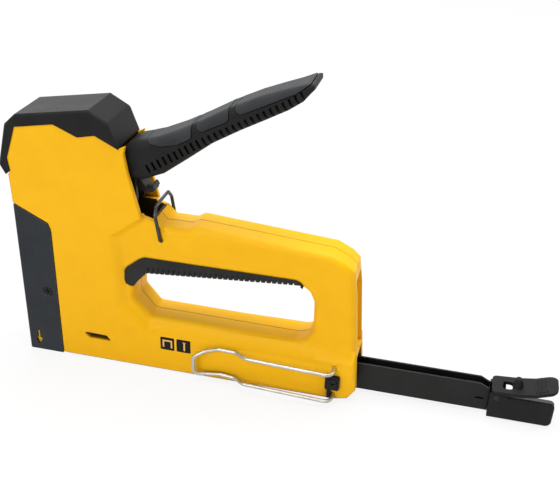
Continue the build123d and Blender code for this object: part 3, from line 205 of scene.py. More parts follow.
class Graph(Wiring):
    """Node graph of one material or world."""

    def __init__(self, owner: bpy.types.Material | bpy.types.World) -> None:
        """Starts with an empty graph.

        Args:
            owner: The new material or world that the graph belongs to.
        """
        owner.use_nodes = True
        owner.node_tree.nodes.clear()
        super().__init__(owner.node_tree)
        self.owner = owner

    @classmethod
    def of_material(cls, name: str) -> "Graph":
        """Starts the graph of a new material."""
        return cls(bpy.data.materials.new(name))

    @cached_property
    def coordinates(self) -> Signal:
        """The object coordinates that every pattern is laid in."""
        return self.out("ShaderNodeTexCoord", name="Object")

    def place(self) -> list[Signal]:
        """Distances along X, across Y and up Z in the tool's frame."""
        parts = self.node("ShaderNodeSeparateXYZ", {}, {"Vector": self.coordinates}).outputs
        return [Signal(self, part) for part in parts]

    def seen_rays(self) -> Signal:
        """Mask of the rays by which the camera, polished metal and glass see the surroundings.

        Returns:
            A signal that is 1 for those rays and 0 for the light that falls on the object.
        """
        kinds = self.node("ShaderNodeLightPath").outputs
        camera, glossy, through = (
            Signal(self, kinds[name])
            for name in ("Is Camera Ray", "Is Glossy Ray", "Is Transmission Ray")
        )
        return (camera + glossy + through).bounded()

    def noise(
        self, size: float, detail: float = 3.0, rough: float = 0.5, lay: Point = EVEN
    ) -> Signal:
        """Cloudy noise.

        Args:
            size: Width of its features in metres.
            detail: Number of finer layers.
            rough: Share of each finer layer.
            lay: Scale along each axis, small where the pattern is drawn out.

        Returns:
            The noise, about 0.5 on average.
        """
        laid = self.out(
            "ShaderNodeMapping",
            {"vector_type": "POINT"},
            {"Vector": self.coordinates, "Scale": lay},
        )
        return self.out(
            "ShaderNodeTexNoise",
            {"noise_dimensions": "3D"},
            {"Vector": laid, "Scale": 1.0 / size, "Detail": detail, "Roughness": rough},
            "Fac",
        )

    def cells(self, size: float, feature: str = "F1") -> Signal:
        """Pattern of pebbles.

        Args:
            size: Width of a pebble in metres.
            feature: How the distance to a pebble's middle is taken.

        Returns:
            The distance to the nearest middle, in pebbles.
        """
        return self.out(
            "ShaderNodeTexVoronoi",
            {"feature": feature},
            {"Vector": self.coordinates, "Scale": 1.0 / size},
            "Distance",
        )

    def blend(
        self, factor: Signal | float, first: Signal | Colour, second: Signal | Colour
    ) -> Signal:
        """Colour between two colours.

        Args:
            factor: Share of the second colour.
            first: Colour at 0.
            second: Colour at 1.

        Returns:
            The mixed colour.
        """
        values = {0: factor, 6: first, 7: second}
        return self.out("ShaderNodeMix", {"data_type": "RGBA"}, values, 2)

    def rounded_normal(self, radius: float) -> Signal:
        """Surface normal that turns over each sharp edge within a radius."""
        return self.out("ShaderNodeBevel", {"samples": NORMAL_RAYS}, {"Radius": radius})

    def edge(self, radius: float, gain: float) -> Signal:
        """Mask of the sharp edges.

        Args:
            radius: Distance from an edge at which the mask ends.
            gain: How steeply it rises.

        Returns:
            A signal that is 1 at sharp edges.
        """
        normal = self.out("ShaderNodeNewGeometry", name="Normal")
        lined = self.out(
            "ShaderNodeVectorMath",
            {"operation": "DOT_PRODUCT"},
            {0: self.rounded_normal(radius), 1: normal},
            "Value",
        )
        return ((1.0 - lined) * gain).bounded()

    def sheltered(self, reach: float, low: float, high: float) -> Signal:
        """Mask of the faces deep inside a slot or hole, which the shells use for painted shade.

        Args:
            reach: How far a face looks for others round it.
            low: Openness at which the mask is full.
            high: Openness at which it ends.

        Returns:
            A signal that is 1 deep inside and 0 on open faces.
        """
        open_to = self.out(
            "ShaderNodeAmbientOcclusion", {"samples": SHELTER_RAYS}, {"Distance": reach}, "AO"
        )
        return 1.0 - open_to.step(low, high)

    def bump(
        self, height: Signal, depth: float, strength: float, normal: Signal | None = None
    ) -> Signal:
        """Normal bent by fine relief.

        Args:
            height: The relief.
            depth: Height in metres of a relief of 1.
            strength: Share of the bend that is kept.
            normal: The normal that is bent, or None for the surface's own.

        Returns:
            The bent normal.
        """
        values = {"Height": height, "Distance": depth, "Strength": strength}
        if normal is not None:
            values["Normal"] = normal
        return self.out("ShaderNodeBump", {}, values, "Normal")

    def close(self, **sockets: Signal | float) -> bpy.types.Material:
        """Ends the graph with a Principled surface.

        Args:
            **sockets: Its inputs by name, with an underline for each space.

        Returns:
            The finished material.
        """
        named = {key.replace("_", " "): value for key, value in sockets.items()}
        surface = self.out("ShaderNodeBsdfPrincipled", {}, named, "BSDF")
        self.node("ShaderNodeOutputMaterial", {}, {"Surface": surface})
        return self.owner


# ---------------------------------------------------------------- finishes
def toned(colour: Colour, gain: float, lift: float = 0.0) -> Colour:
    """A colour made darker or lighter, no channel above 1."""
    return tuple(min(1.0, channel * gain + lift) for channel in colour)


@dataclass(frozen=True)
class MouldedShell:
    """Hard satin plastic with a fine spark-eroded grain, faint flow shading and edges made lighter,
    partly as scuffs and partly as painted highlight.

    The joint between the two shells runs along Y = 0. Painted shade darkens deep cavities and the
    inside of the handle's slot, and a faint step marks the pad under the belt hook's clip.
    """

    name: str
    colour: Colour
    shade: Colour
    rough: float = 0.42
    specular: float = 0.16
    # widths of the patterns
    flow: float = 60 * MM
    flow_lay: Point = (0.6, 1.0, 1.4)
    cloud: float = 9 * MM
    grain: float = 0.35 * MM
    scratch: float = 0.5 * MM
    scratch_lay: Point = (0.05, 1.0, 0.6)
    scratch_patch: float = 12 * MM
    depth: float = 0.02 * MM
    # edges made lighter: partly scuffs, partly painted highlight
    edge_radius: float = 1.9 * MM
    edge_gain: float = 2.2
    edge_wear_and_highlight_share: float = 0.2
    # the joint between the shells
    joint_half: float = 0.16 * MM
    joint_share: float = 0.85
    joint_height: float = -4.0
    # painted shade that darkens deep cavities behind the nose, in a dark colour that the handle's
    # slot shares
    inside: Colour = (0.022, 0.015, 0.009)
    cavity_shade: float = 14 * MM
    cavity_open: Range = (0.2, 0.48)
    cavity_shade_share: float = 0.94
    nose_end: Range = (20 * MM, 24 * MM)
    # painted shade inside the handle's slot
    slot_half: Range = (9.8 * MM, 10.0 * MM)
    slot_low: Range = (84 * MM, 85 * MM)
    slot_front: Range = (58 * MM, 59 * MM)
    lip_front: Range = (81.4 * MM, 81.9 * MM)
    lip_top: Range = (102.3 * MM, 103.3 * MM)
    slot_shade_share: float = 0.96
    # the raised pad and apron round the belt hook's clip
    pad_left: Range = (176 * MM, 180 * MM)
    pad_top: Range = (25.5 * MM, 29.5 * MM)
    apron_left: Range = (167 * MM, 171 * MM)
    apron_top: Range = (32 * MM, 35 * MM)
    apron_share: float = 0.7
    relief: float = 60.0

    def build(self) -> bpy.types.Material:
        """Builds the finish.

        Returns:
            Its material.
        """
        g = Graph.of_material(self.name)
        along, across, high = g.place()
        flow = g.noise(self.flow, 2.0, 0.45, self.flow_lay)
        cloud = g.noise(self.cloud, 4.0, 0.6)
        fleck = g.noise(self.grain, 2.0, 0.7)
        worn = g.edge(self.edge_radius, self.edge_gain)
        scratch = g.noise(self.scratch, 3.0, 0.6, self.scratch_lay)
        scratch = (scratch * g.noise(self.scratch_patch, 2.0)).step(0.36, 0.5)
        joint = 1.0 - abs(across).step(self.joint_half * 0.5, self.joint_half * 1.6)

        base = g.blend((flow * 0.55 + cloud * 0.35).step(0.25, 0.75), self.shade, self.colour)
        # edges made lighter, partly as scuffs and partly as painted highlight
        base = g.blend(worn * self.edge_wear_and_highlight_share, base, toned(self.colour, 1.12, 0.015))
        base = g.blend(joint * self.joint_share, base, toned(self.shade, 0.14))
        # painted shade: faces deep in the cavities behind the nose are darkened towards near-black
        cavity_shade = g.sheltered(self.cavity_shade, *self.cavity_open) * along.step(*self.nose_end)
        base = g.blend(cavity_shade * self.cavity_shade_share, base, self.inside)
        # painted shade: the inside of the handle's slot is darkened towards near-black
        base = g.blend(self._slot_shade_mask(along, across, high) * self.slot_shade_share, base, self.inside)

        rough = self.rough + (cloud - 0.5) * 0.12 + (fleck - 0.5) * 0.05
        rough = rough + worn * 0.08 - scratch * 0.05
        pad = along.step(*self.pad_left) * (1.0 - high.step(*self.pad_top))
        apron = along.step(*self.apron_left) * (1.0 - high.step(*self.apron_top))
        relief = (pad + apron * self.apron_share) * self.relief
        height = fleck * 0.7 - scratch * 0.3 + cloud * 0.1 + joint * self.joint_height + relief
        normal = g.bump(height, self.depth, 0.5, g.rounded_normal(self.edge_radius))
        return g.close(
            Base_Color=base, Roughness=rough, Normal=normal, Specular_IOR_Level=self.specular
        )

    def _slot_shade_mask(self, along: Signal, across: Signal, high: Signal) -> Signal:
        """Mask of the inside of the slot in which the handle's lever moves, where painted shade is
        laid.

        Args:
            along: Distance along X.
            across: Distance along Y.
            high: Distance along Z.

        Returns:
            A signal that is 1 inside the slot.
        """
        between = 1.0 - abs(across).step(*self.slot_half)
        behind_lip = along.step(*self.lip_front) * (1.0 - high.step(*self.lip_top))
        inside = between * high.step(*self.slot_low) * along.step(*self.slot_front)
        return inside * (1.0 - behind_lip)


@dataclass(frozen=True)
class GrainedPlastic:
    """Dark glass-filled plastic with a pebbled grain that greys where hands rub it, and edges made
    paler, partly as rubbing and partly as painted highlight.
    """

    name: str
    colour: Colour
    worn: Colour
    rough: float = 0.5
    specular: float = 0.13
    pebble: float = 0.55 * MM
    cloud: float = 14 * MM
    dust: float = 1.6 * MM
    depth: float = 0.05 * MM
    edge_radius: float = 1.1 * MM
    edge_gain: float = 2.0
    edge_wear_and_highlight_share: float = 0.4

    def build(self) -> bpy.types.Material:
        """Builds the finish.

        Returns:
            Its material.
        """
        g = Graph.of_material(self.name)
        pebble = g.cells(self.pebble)
        cloud = g.noise(self.cloud, 4.0, 0.55)
        dust = g.noise(self.dust, 3.0, 0.7)
        rubbed = g.edge(self.edge_radius, self.edge_gain)
        base = g.blend((cloud * 0.8 + dust * 0.3).step(0.3, 0.85), self.colour, self.worn)
        # edges made paler, partly as rubbing and partly as painted highlight
        base = g.blend(rubbed * self.edge_wear_and_highlight_share, base, toned(self.worn, 1.7))
        rough = self.rough + (cloud - 0.5) * 0.16 + (pebble - 0.4) * 0.1 - rubbed * 0.08
        normal = g.bump(pebble, self.depth, 0.55, g.rounded_normal(self.edge_radius))
        return g.close(
            Base_Color=base, Roughness=rough, Normal=normal, Specular_IOR_Level=self.specular
        )


@dataclass(frozen=True)
class CoatedSheet:
    """Folded sheet with a thin satin coat over rolled steel, rubbed bright along its edges."""

    name: str
    colour: Colour
    lighter: Colour
    steel: Colour = (0.32, 0.33, 0.34)
    rough: float = 0.38
    specular: float = 0.3
    rolled: float = 1.2 * MM
    rolled_lay: Point = (1.0, 1.0, 0.04)
    haze: float = 26 * MM
    speck: float = 0.45 * MM
    chipped: float = 2.4 * MM
    depth: float = 0.012 * MM
    edge_radius: float = 0.35 * MM
    edge_gain: float = 2.6
    coat_metal: float = 0.25

    def build(self) -> bpy.types.Material:
        """Builds the finish.

        Returns:
            Its material.
        """
        g = Graph.of_material(self.name)
        rolled = g.noise(self.rolled, 3.0, 0.6, self.rolled_lay)
        haze = g.noise(self.haze, 4.0, 0.6)
        speck = g.noise(self.speck, 2.0, 0.6)
        chipped = 0.5 + g.noise(self.chipped, 4.0, 0.7)
        bare = (g.edge(self.edge_radius, self.edge_gain) * chipped).step(0.5, 0.9)
        base = g.blend((haze * 0.7 + rolled * 0.3).step(0.3, 0.72), self.colour, self.lighter)
        base = g.blend(bare, base, self.steel)
        rough = self.rough + (haze - 0.5) * 0.2 + (speck - 0.5) * 0.12 - bare * 0.06
        metal = self.coat_metal + bare * 0.7
        height = speck * 0.6 + rolled * 0.4
        normal = g.bump(height, self.depth, 0.45, g.rounded_normal(self.edge_radius))
        return g.close(
            Base_Color=base,
            Roughness=rough,
            Metallic=metal,
            Normal=normal,
            Specular_IOR_Level=self.specular,
        )


@dataclass(frozen=True)
class DrawnSteel:
    """Bright plated steel with fine lines along its length and a faint haze of handling."""

    name: str
    colour: Colour
    dull: Colour
    lay: Point = (0.05, 1.0, 1.0)
    rough: float = 0.24
    lines: float = 0.35 * MM
    haze: float = 7 * MM
    spot: float = 1.1 * MM
    depth: float = 0.006 * MM
    edge_radius: float = 0.15 * MM

    def build(self) -> bpy.types.Material:
        """Builds the finish.

        Returns:
            Its material.
        """
        g = Graph.of_material(self.name)
        lines = g.noise(self.lines, 3.0, 0.6, self.lay)
        haze = g.noise(self.haze, 4.0, 0.6)
        spot = g.noise(self.spot, 3.0, 0.6).step(0.62, 0.75)
        base = g.blend((haze * 0.7 + lines * 0.3).step(0.3, 0.75), self.dull, self.colour)
        base = g.blend(spot * 0.35, base, toned(self.dull, 0.6))
        rough = self.rough + (haze - 0.5) * 0.18 + (lines - 0.5) * 0.1 + spot * 0.15
        normal = g.bump(lines, self.depth, 0.4, g.rounded_normal(self.edge_radius))
        return g.close(Base_Color=base, Roughness=rough, Metallic=1.0, Normal=normal)


@dataclass(frozen=True)
class SoftGrip:
    """Matt rubber-like overmould with a fine stipple and paler rubbed places."""

    name: str
    colour: Colour
    worn: Colour
    rough: float = 0.62
    specular: float = 0.22
    stipple: float = 0.7 * MM
    cloud: float = 18 * MM
    fine: float = 0.25 * MM
    depth: float = 0.05 * MM
    edge_radius: float = 0.4 * MM

    def build(self) -> bpy.types.Material:
        """Builds the finish.

        Returns:
            Its material.
        """
        g = Graph.of_material(self.name)
        stipple = g.cells(self.stipple, "SMOOTH_F1")
        cloud = g.noise(self.cloud, 3.0, 0.5)
        fine = g.noise(self.fine, 2.0, 0.6)
        base = g.blend(cloud.step(0.35, 0.75), self.colour, self.worn)
        rough = self.rough + (cloud - 0.5) * 0.14 + (stipple - 0.4) * 0.12
        height = stipple * 0.8 + fine * 0.2
        normal = g.bump(height, self.depth, 0.5, g.rounded_normal(self.edge_radius))
        return g.close(
            Base_Color=base, Roughness=rough, Normal=normal, Specular_IOR_Level=self.specular
        )


@dataclass(frozen=True)
class PrintedInk:
    """Pad-printed ink with a thin uneven film, also used for a near-black sheet of painted shade."""

    name: str
    colour: Colour
    rough: float = 0.5
    specular: float = 0.12
    film: float = 1.2 * MM
    depth: float = 0.01 * MM

    def build(self) -> bpy.types.Material:
        """Builds the finish.

        Returns:
            Its material.
        """
        g = Graph.of_material(self.name)
        film = g.noise(self.film, 4.0, 0.65)
        base = g.blend(film.step(0.3, 0.8), self.colour, toned(self.colour, 1.25, 0.004))
        rough = self.rough + (film - 0.5) * 0.2
        normal = g.bump(film, self.depth, 0.3)
        return g.close(
            Base_Color=base, Roughness=rough, Normal=normal, Specular_IOR_Level=self.specular
        )


class Finish(Enum):
    """The finishes of the staple gun."""

    YELLOW = MouldedShell("yellow_moulding", (0.955, 0.508, 0.0028), (0.89, 0.457, 0.0018))
    BLACK = GrainedPlastic("black_moulding", (0.0080, 0.0081, 0.0082), (0.0142, 0.0144, 0.0147))
    GRIP = SoftGrip("grip_overmould", (0.019, 0.021, 0.023), (0.031, 0.034, 0.037))
    RIBBED = SoftGrip("finger_overmould", (0.010, 0.0098, 0.0098), (0.018, 0.0175, 0.0175), 0.54)
    PLATE = CoatedSheet("nose_plate_coat", (0.012, 0.015, 0.020), (0.021, 0.025, 0.031), rough=0.42)
    RAIL = CoatedSheet(
        "rail_black_oxide", (0.005, 0.005, 0.0047), (0.010, 0.010, 0.0094), (0.06, 0.06, 0.06), 0.42
    )
    LEVER = CoatedSheet(
        "lever_black_oxide", (0.016, 0.016, 0.016), (0.028, 0.028, 0.028), (0.14, 0.14, 0.14), 0.4
    )
    BLACK_SCREW = CoatedSheet(
        "black_screw", (0.003, 0.003, 0.003), (0.007, 0.007, 0.007), (0.11, 0.11, 0.11), 0.36
    )
    WIRE = DrawnSteel("wire_zinc", (0.58, 0.555, 0.505), (0.40, 0.385, 0.345), rough=0.42)
    DARK_WIRE = DrawnSteel(
        "bail_wire", (0.10, 0.10, 0.10), (0.04, 0.04, 0.04), (1.0, 1.0, 0.06), 0.3
    )
    STEEL = DrawnSteel(
        "ground_steel", (0.62, 0.62, 0.60), (0.42, 0.42, 0.41), (1.0, 1.0, 0.05), 0.28
    )
    INK = PrintedInk("printed_black", (0.0065, 0.0055, 0.0055))
    INK_MARK = PrintedInk("printed_mark", (0.80, 0.46, 0.12))
    # a near-black sheet of painted shade on the rail's stop nick, made with the ink finish
    NICK_SHADE = PrintedInk("stop_nick_shade", (0.0006, 0.0006, 0.0006), 0.9, 0.0)

    def material(self) -> bpy.types.Material:
        """The finish's material, built once."""
        kept = bpy.data.materials.get(self.value.name)
        return kept or self.value.build()


# ---------------------------------------------------------------- shared making
def dress(finish: Finish, *nodes: str) -> None:
    """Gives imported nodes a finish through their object's own material slots.

    Args:
        finish: The finish.
        *nodes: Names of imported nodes.
    """
    for name in nodes:
        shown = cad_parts[name]
        if not shown.material_slots:
            shown.data.materials.append(finish.material())
        for held in shown.material_slots:
            held.link = "OBJECT"
            held.material = finish.material()
        log.info("dressed %s: %s", name, finish.value.name)


def soften(*nodes: str, angle: float = 34.0) -> None:
    """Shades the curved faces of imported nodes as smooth, with flat flats and crisp corners.

    Args:
        *nodes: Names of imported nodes.
        angle: Largest turn between two faces that counts as a curve, in degrees.
    """
    for name in nodes:
        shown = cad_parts[name]
        shown.data.shade_smooth()
        joined = shown.modifiers.new("joined", "WELD")
        joined.merge_threshold = MERGE_GAP
        crisp = shown.modifiers.new("crisp", "EDGE_SPLIT")
        crisp.split_angle = math.radians(angle)
        crisp.use_edge_sharp = False
        flat = shown.modifiers.new("flat", "WEIGHTED_NORMAL")
        flat.mode = "FACE_AREA"
        flat.weight = FLAT_WEIGHT
        log.info("softened %s", name)


def show(held: bpy.types.Object) -> None:
    """Puts an object into the scene."""
    bpy.context.scene.collection.objects.link(held)


def piece(name: str, mesh: bpy.types.Mesh, finish: Finish, body: str) -> bpy.types.Object:
    """Puts a finished mesh into the scene as one piece that rides on a body.

    Args:
        name: The piece's name.
        mesh: Its mesh, in place in the tool's frame.
        finish: Its finish.
        body: The body it moves with.

    Returns:
        The new object.
    """
    made = bpy.data.objects.new(name, mesh)
    show(made)
    mesh.materials.clear()
    mesh.materials.append(finish.material())
    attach(made, body)
    log.info("made %s: %d faces on %s", name, len(mesh.polygons), body)
    return made


def kept_mesh(name: str, bm: bmesh.types.BMesh) -> bpy.types.Mesh:
    """Turns a working mesh into a named one and frees it.

    Args:
        name: The mesh's name.
        bm: The working mesh.

    Returns:
        The named mesh.
    """
    mesh = bpy.data.meshes.new(name)
    bm.to_mesh(mesh)
    bm.free()
    return mesh


def slab(name: str, outline: Outline, y: float, thick: float) -> bpy.types.Mesh:
    """Flat plate drawn in the side view, from a station y towards -Y.

    Args:
        name: The mesh's name.
        outline: Corner places as (x, z) in millimetres, counter-clockwise seen from -Y.
        y: Station of its inner face in millimetres.
        thick: Thickness in millimetres.

    Returns:
        The mesh.
    """
    bm = bmesh.new()
    face = bm.faces.new([bm.verts.new((x * MM, y * MM, z * MM)) for x, z in outline])
    grown = bmesh.ops.extrude_face_region(bm, geom=[face])
    moved = [v for v in grown["geom"] if isinstance(v, bmesh.types.BMVert)]
    bmesh.ops.translate(bm, verts=moved, vec=(0.0, -thick * MM, 0.0))
    bmesh.ops.recalc_face_normals(bm, faces=bm.faces)
    return kept_mesh(name, bm)


def rounded_box(x_span: Range, z_span: Range, radius: float, steps: int = 5) -> Outline:
    """Outline of a rounded rectangle in the side view.

    Args:
        x_span: Its front and rear in millimetres.
        z_span: Its bottom and top in millimetres.
        radius: Corner radius in millimetres.
        steps: Number of edges in a corner.

    Returns:
        Its corner places, counter-clockwise seen from -Y.
    """
    front, rear = x_span[0] + radius, x_span[1] - radius
    low, high = z_span[0] + radius, z_span[1] - radius
    outline = []
    for x, z, first in ((rear, low, -90), (rear, high, 0), (front, high, 90), (front, low, 180)):
        for k in range(steps + 1):
            angle = math.radians(first + 90 * k / steps)
            outline.append((x + radius * math.cos(angle), z + radius * math.sin(angle)))
    return outline


class Recipe(Wiring):
    """Geometry Nodes tree whose named inputs are set on a modifier before it is evaluated."""

    def __init__(self, name: str) -> None:
        """Starts a tree with a Path input.

        Args:
            name: The tree's name.
        """
        super().__init__(bpy.data.node_groups.new(name, "GeometryNodeTree"))
        self.tree.interface.new_socket(
            "Geometry", in_out="OUTPUT", socket_type="NodeSocketGeometry"
        )
        self.entry = self.node("NodeGroupInput")
        self.path = self.take("Path", "NodeSocketGeometry")

    def take(self, name: str, kind: str = "NodeSocketFloat") -> Signal:
        """Declares a named input and returns it as a signal inside the tree."""
        self.tree.interface.new_socket(name, in_out="INPUT", socket_type=kind)
        return Signal(self, self.entry.outputs[name])

    def tube(self, line: Signal, radius: Signal, sides: int) -> None:
        """Draws a round wire along a line, realises it with the Material input and ends the tree.

        Args:
            line: The curve that the wire follows.
            radius: The wire's radius.
            sides: Number of faces round the wire.
        """
        ring = self.out(
            "GeometryNodeCurvePrimitiveCircle", {}, {"Resolution": sides, "Radius": radius}
        )
        drawn = self.out(
            "GeometryNodeCurveToMesh",
            {},
            {"Curve": line, "Profile Curve": ring, "Fill Caps": True},
        )
        smooth = self.out("GeometryNodeSetShadeSmooth", {}, {"Geometry": drawn})
        whole = self.out("GeometryNodeRealizeInstances", {}, {"Geometry": smooth})
        dressed = self.out(
            "GeometryNodeSetMaterial",
            {},
            {"Geometry": whole, "Material": self.take("Material", "NodeSocketMaterial")},
        )
        self.node("NodeGroupOutput", {}, {"Geometry": dressed})

    def cook(self, name: str, values: dict, path: Sequence[Point] = ()) -> bpy.types.Mesh:
        """Evaluates the tree once with its inputs.

        Args:
            name: Name of the mesh.
            values: Input values by input name.
            path: Points of the path that the tree follows, in metres.

        Returns:
            The finished mesh, free of the modifier.
        """
        line = bpy.data.meshes.new(name)
        line.from_pydata(list(path), [(k, k + 1) for k in range(len(path) - 1)], [])
        carrier = bpy.data.objects.new(name, line)
        show(carrier)
        modifier = carrier.modifiers.new("recipe", "NODES")
        modifier.node_group = self.tree
        for item in self.tree.interface.items_tree:
            if item.in_out == "INPUT" and item.name in values:
                modifier[item.identifier] = values[item.name]
        bpy.context.view_layer.update()
        seen = carrier.evaluated_get(bpy.context.evaluated_depsgraph_get())
        mesh = bpy.data.meshes.new_from_object(seen)
        bpy.data.objects.remove(carrier)
        return mesh


def coil_recipe() -> Recipe:
    """Tree that winds a round wire into a spring that stands on +Z.

    Returns:
        The tree, whose spring has one closed turn at each end.
    """
    r = Recipe("wound_spring")
    turns, length = r.take("Turns"), r.take("Length")
    coil, wire = r.take("Coil Radius"), r.take("Wire Radius")
    spiral = r.out(
        "GeometryNodeCurveSpiral",
        {},
        {
            "Resolution": r.take("Steps", "NodeSocketInt"),
            "Rotations": turns,
            "Start Radius": coil,
            "End Radius": coil,
            "Height": 1.0,
        },
    )
    share = r.out("GeometryNodeSplineParameter", name="Factor")
    end = 1.0 / turns
    thick = wire * 2.0
    rise = 0.0
    for start, run, high in (
        (0.0, end, thick),
        (end, 1.0 - end * 2.0, length - thick * 2.0),
        (1.0 - end, end, thick),
    ):
        rise = rise + ((share - start) / run).bounded() * high
    place = r.node(
        "ShaderNodeSeparateXYZ", {}, {"Vector": r.out("GeometryNodeInputPosition")}
    ).outputs
    raised = r.out("ShaderNodeCombineXYZ", {}, {"X": place["X"], "Y": place["Y"], "Z": rise})
    line = r.out("GeometryNodeSetPosition", {}, {"Geometry": spiral, "Position": raised})
    r.tube(line, wire, COIL_SIDES)
    return r


def wire_recipe() -> Recipe:
    """Tree that bends a round wire along a path of straight runs.

    Returns:
        The tree, whose wire turns every corner with one radius.
    """
    r = Recipe("bent_wire")
    wire, bend = r.take("Wire Radius"), r.take("Bend Radius")
    run = r.out("GeometryNodeMeshToCurve", {}, {"Mesh": r.path})
    bent = r.out(
        "GeometryNodeFilletCurve",
        {"mode": "POLY"},
        {"Curve": run, "Count": BEND_STEPS, "Radius": bend, "Limit Radius": True},
    )
    r.tube(bent, wire, HOOK_SIDES)
    return r


@dataclass(frozen=True)
class Spring:
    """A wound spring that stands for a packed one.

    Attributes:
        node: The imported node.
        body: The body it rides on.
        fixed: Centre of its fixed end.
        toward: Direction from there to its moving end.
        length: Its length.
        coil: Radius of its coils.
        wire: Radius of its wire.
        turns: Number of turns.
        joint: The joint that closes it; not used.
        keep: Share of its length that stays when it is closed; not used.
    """

    node: str
    body: str
    fixed: Point
    toward: Point
    length: float
    coil: float
    wire: float
    turns: int
    joint: str
    keep: float

    def build(self, recipe: Recipe, steps: int = 28) -> None:
        """Winds the spring and lays it in place.

        Args:
            recipe: The tree that winds it.
            steps: Number of straight runs in a turn.
        """
        sizes = {
            "Turns": float(self.turns),
            "Length": self.length - 2 * self.wire,
            "Coil Radius": self.coil,
            "Wire Radius": self.wire,
            "Steps": steps,
            "Material": Finish.STEEL.material(),
        }
        mesh = recipe.cook(f"{self.node}_wound", sizes)
        lift = Matrix.Translation((0.0, 0.0, self.wire))
        aim = Vector(self.toward).to_track_quat("Z", "Y").to_matrix().to_4x4()
        mesh.transform(Matrix.Translation(self.fixed) @ aim @ lift)
        made = piece(f"{self.node}_wound", mesh, Finish.STEEL, self.body)
        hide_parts(self.node)
        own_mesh(made)


# ---------------------------------------------------------------- sub-assemblies
@dataclass
class Case:
    """The two shells, bumper cap, nose plates and what is screwed to them.

    The lower bar has two printed squares in a row, which show a staple and a brad. Their lines
    are drawn in millimetres from the lower front corner of each square.
    """

    square_fronts: tuple[float, ...] = (83.8, 94.0)
    square_wide: float = 8.8
    square_span: Range = (15.6, 24.6)
    square_corner: float = 0.7
    side: float = -15.6
    film: float = 0.05
    staple_line: tuple[Place, ...] = (
        (1.4, 2.0), (2.4, 2.0), (2.4, 6.1), (6.5, 6.1), (6.5, 1.6), (7.5, 1.6), (7.5, 7.1), (1.4, 7.1)
    )
    brad_line: tuple[Place, ...] = (
        (4.4, 1.2), (5.4, 1.2), (5.4, 6.4), (6.0, 7.2), (3.8, 7.2), (4.4, 6.4)
    )

    def dress(self) -> None:
        """Gives the case's nodes their finishes."""
        dress(Finish.YELLOW, "left_shell", "right_shell")
        dress(Finish.BLACK, "top_cap")
        dress(Finish.RIBBED, "finger_grip")
        dress(Finish.PLATE, "nose_cover")
        dress(Finish.STEEL, "nose_guide", "pivot_pin", "magazine_guide")
        dress(Finish.STEEL, "spring_seat", "spring_post", "return_spring")
        dress(Finish.BLACK_SCREW, "nose_screws", "shell_screws")
        dress(Finish.GRIP, "plunger_bumper")
        soften("left_shell", "right_shell", "top_cap", "finger_grip", "nose_cover", "return_spring")

    def marks(self) -> None:
        """Prints the two squares and the lines on them."""
        for k, front in enumerate(self.square_fronts):
            span = (front, front + self.square_wide)
            outline = rounded_box(span, self.square_span, self.square_corner)
            square = slab("mark_field", outline, self.side, self.film)
            piece(f"mark_field_{k + 1}", square, Finish.INK, "body")
        lines = {"staple_mark": self.staple_line, "brad_mark": self.brad_line}
        for (name, line), front in zip(lines.items(), self.square_fronts):
            outline = [(front + x, self.square_span[0] + z) for x, z in line]
            mark = slab(name, outline, self.side - self.film, self.film)
            piece(name, mark, Finish.INK_MARK, "body")


@dataclass
class BeltHook:
    """The wire belt hook and the clip that holds it, drawn in millimetres."""

    eye_x: float = 190.5
    eye_top: float = 22.8
    eye_low: float = 4.2
    root_y: float = -11.8
    far_y: float = -24.0
    bow_y: float = -18.0
    tip_y: float = -20.5
    wire_r: float = 1.1
    bend: float = 4.2

    def path(self) -> list[Point]:
        """Corners of the wire from its upper eye round the bow to its lower eye.

        Returns:
            The corners in metres.
        """
        upper = [(self.eye_x, self.root_y, self.eye_top), (self.eye_x, self.far_y, self.eye_top)]
        bow = [
            (139.5, self.far_y, 24.7),
            (132.0, self.bow_y, 23.6),
            (121.0, self.bow_y, 24.0),
            (113.0, self.bow_y, 21.2),
            (106.0, self.tip_y, 17.6),
            (106.0, self.tip_y, 5.0),
            (114.0, self.bow_y, 4.8),
            (122.0, self.bow_y, 6.0),
            (131.0, self.bow_y, 5.0),
            (138.0, self.far_y, 6.4),
        ]
        lower = [(self.eye_x, self.far_y, self.eye_low), (self.eye_x, self.root_y, self.eye_low)]
        return [tuple(v * MM for v in point) for point in (*upper, *bow, *lower)]

    def dress(self) -> None:
        """Gives the clip and its screw their finishes."""
        dress(Finish.BLACK, "hook_retainer")
        dress(Finish.BLACK_SCREW, "hook_screw")

    def build(self) -> None:
        """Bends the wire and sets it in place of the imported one."""
        sizes = {
            "Wire Radius": self.wire_r * MM,
            "Bend Radius": self.bend * MM,
            "Material": Finish.WIRE.material(),
        }
        mesh = wire_recipe().cook("belt_hook_wire", sizes, self.path())
        made = piece("belt_hook_wire", mesh, Finish.WIRE, "body")
        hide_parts("belt_hook")


@dataclass
class Handle:
    """The squeeze handle with its lever, grip, pads and catch, and what it moves."""

    def dress(self) -> None:
        """Gives the handle's nodes their finishes."""
        dress(Finish.LEVER, "handle_lever", "handle_catch")
        dress(Finish.BLACK, "handle_grip")
        dress(Finish.GRIP, "handle_pads")
        dress(Finish.STEEL, "lifter_pin", "spring_pin", "plunger", "driver_blade")
        dress(Finish.DARK_WIRE, "lock_bail")
        soften("handle_grip", "handle_pads", "handle_lever", "handle_catch", "lock_bail")


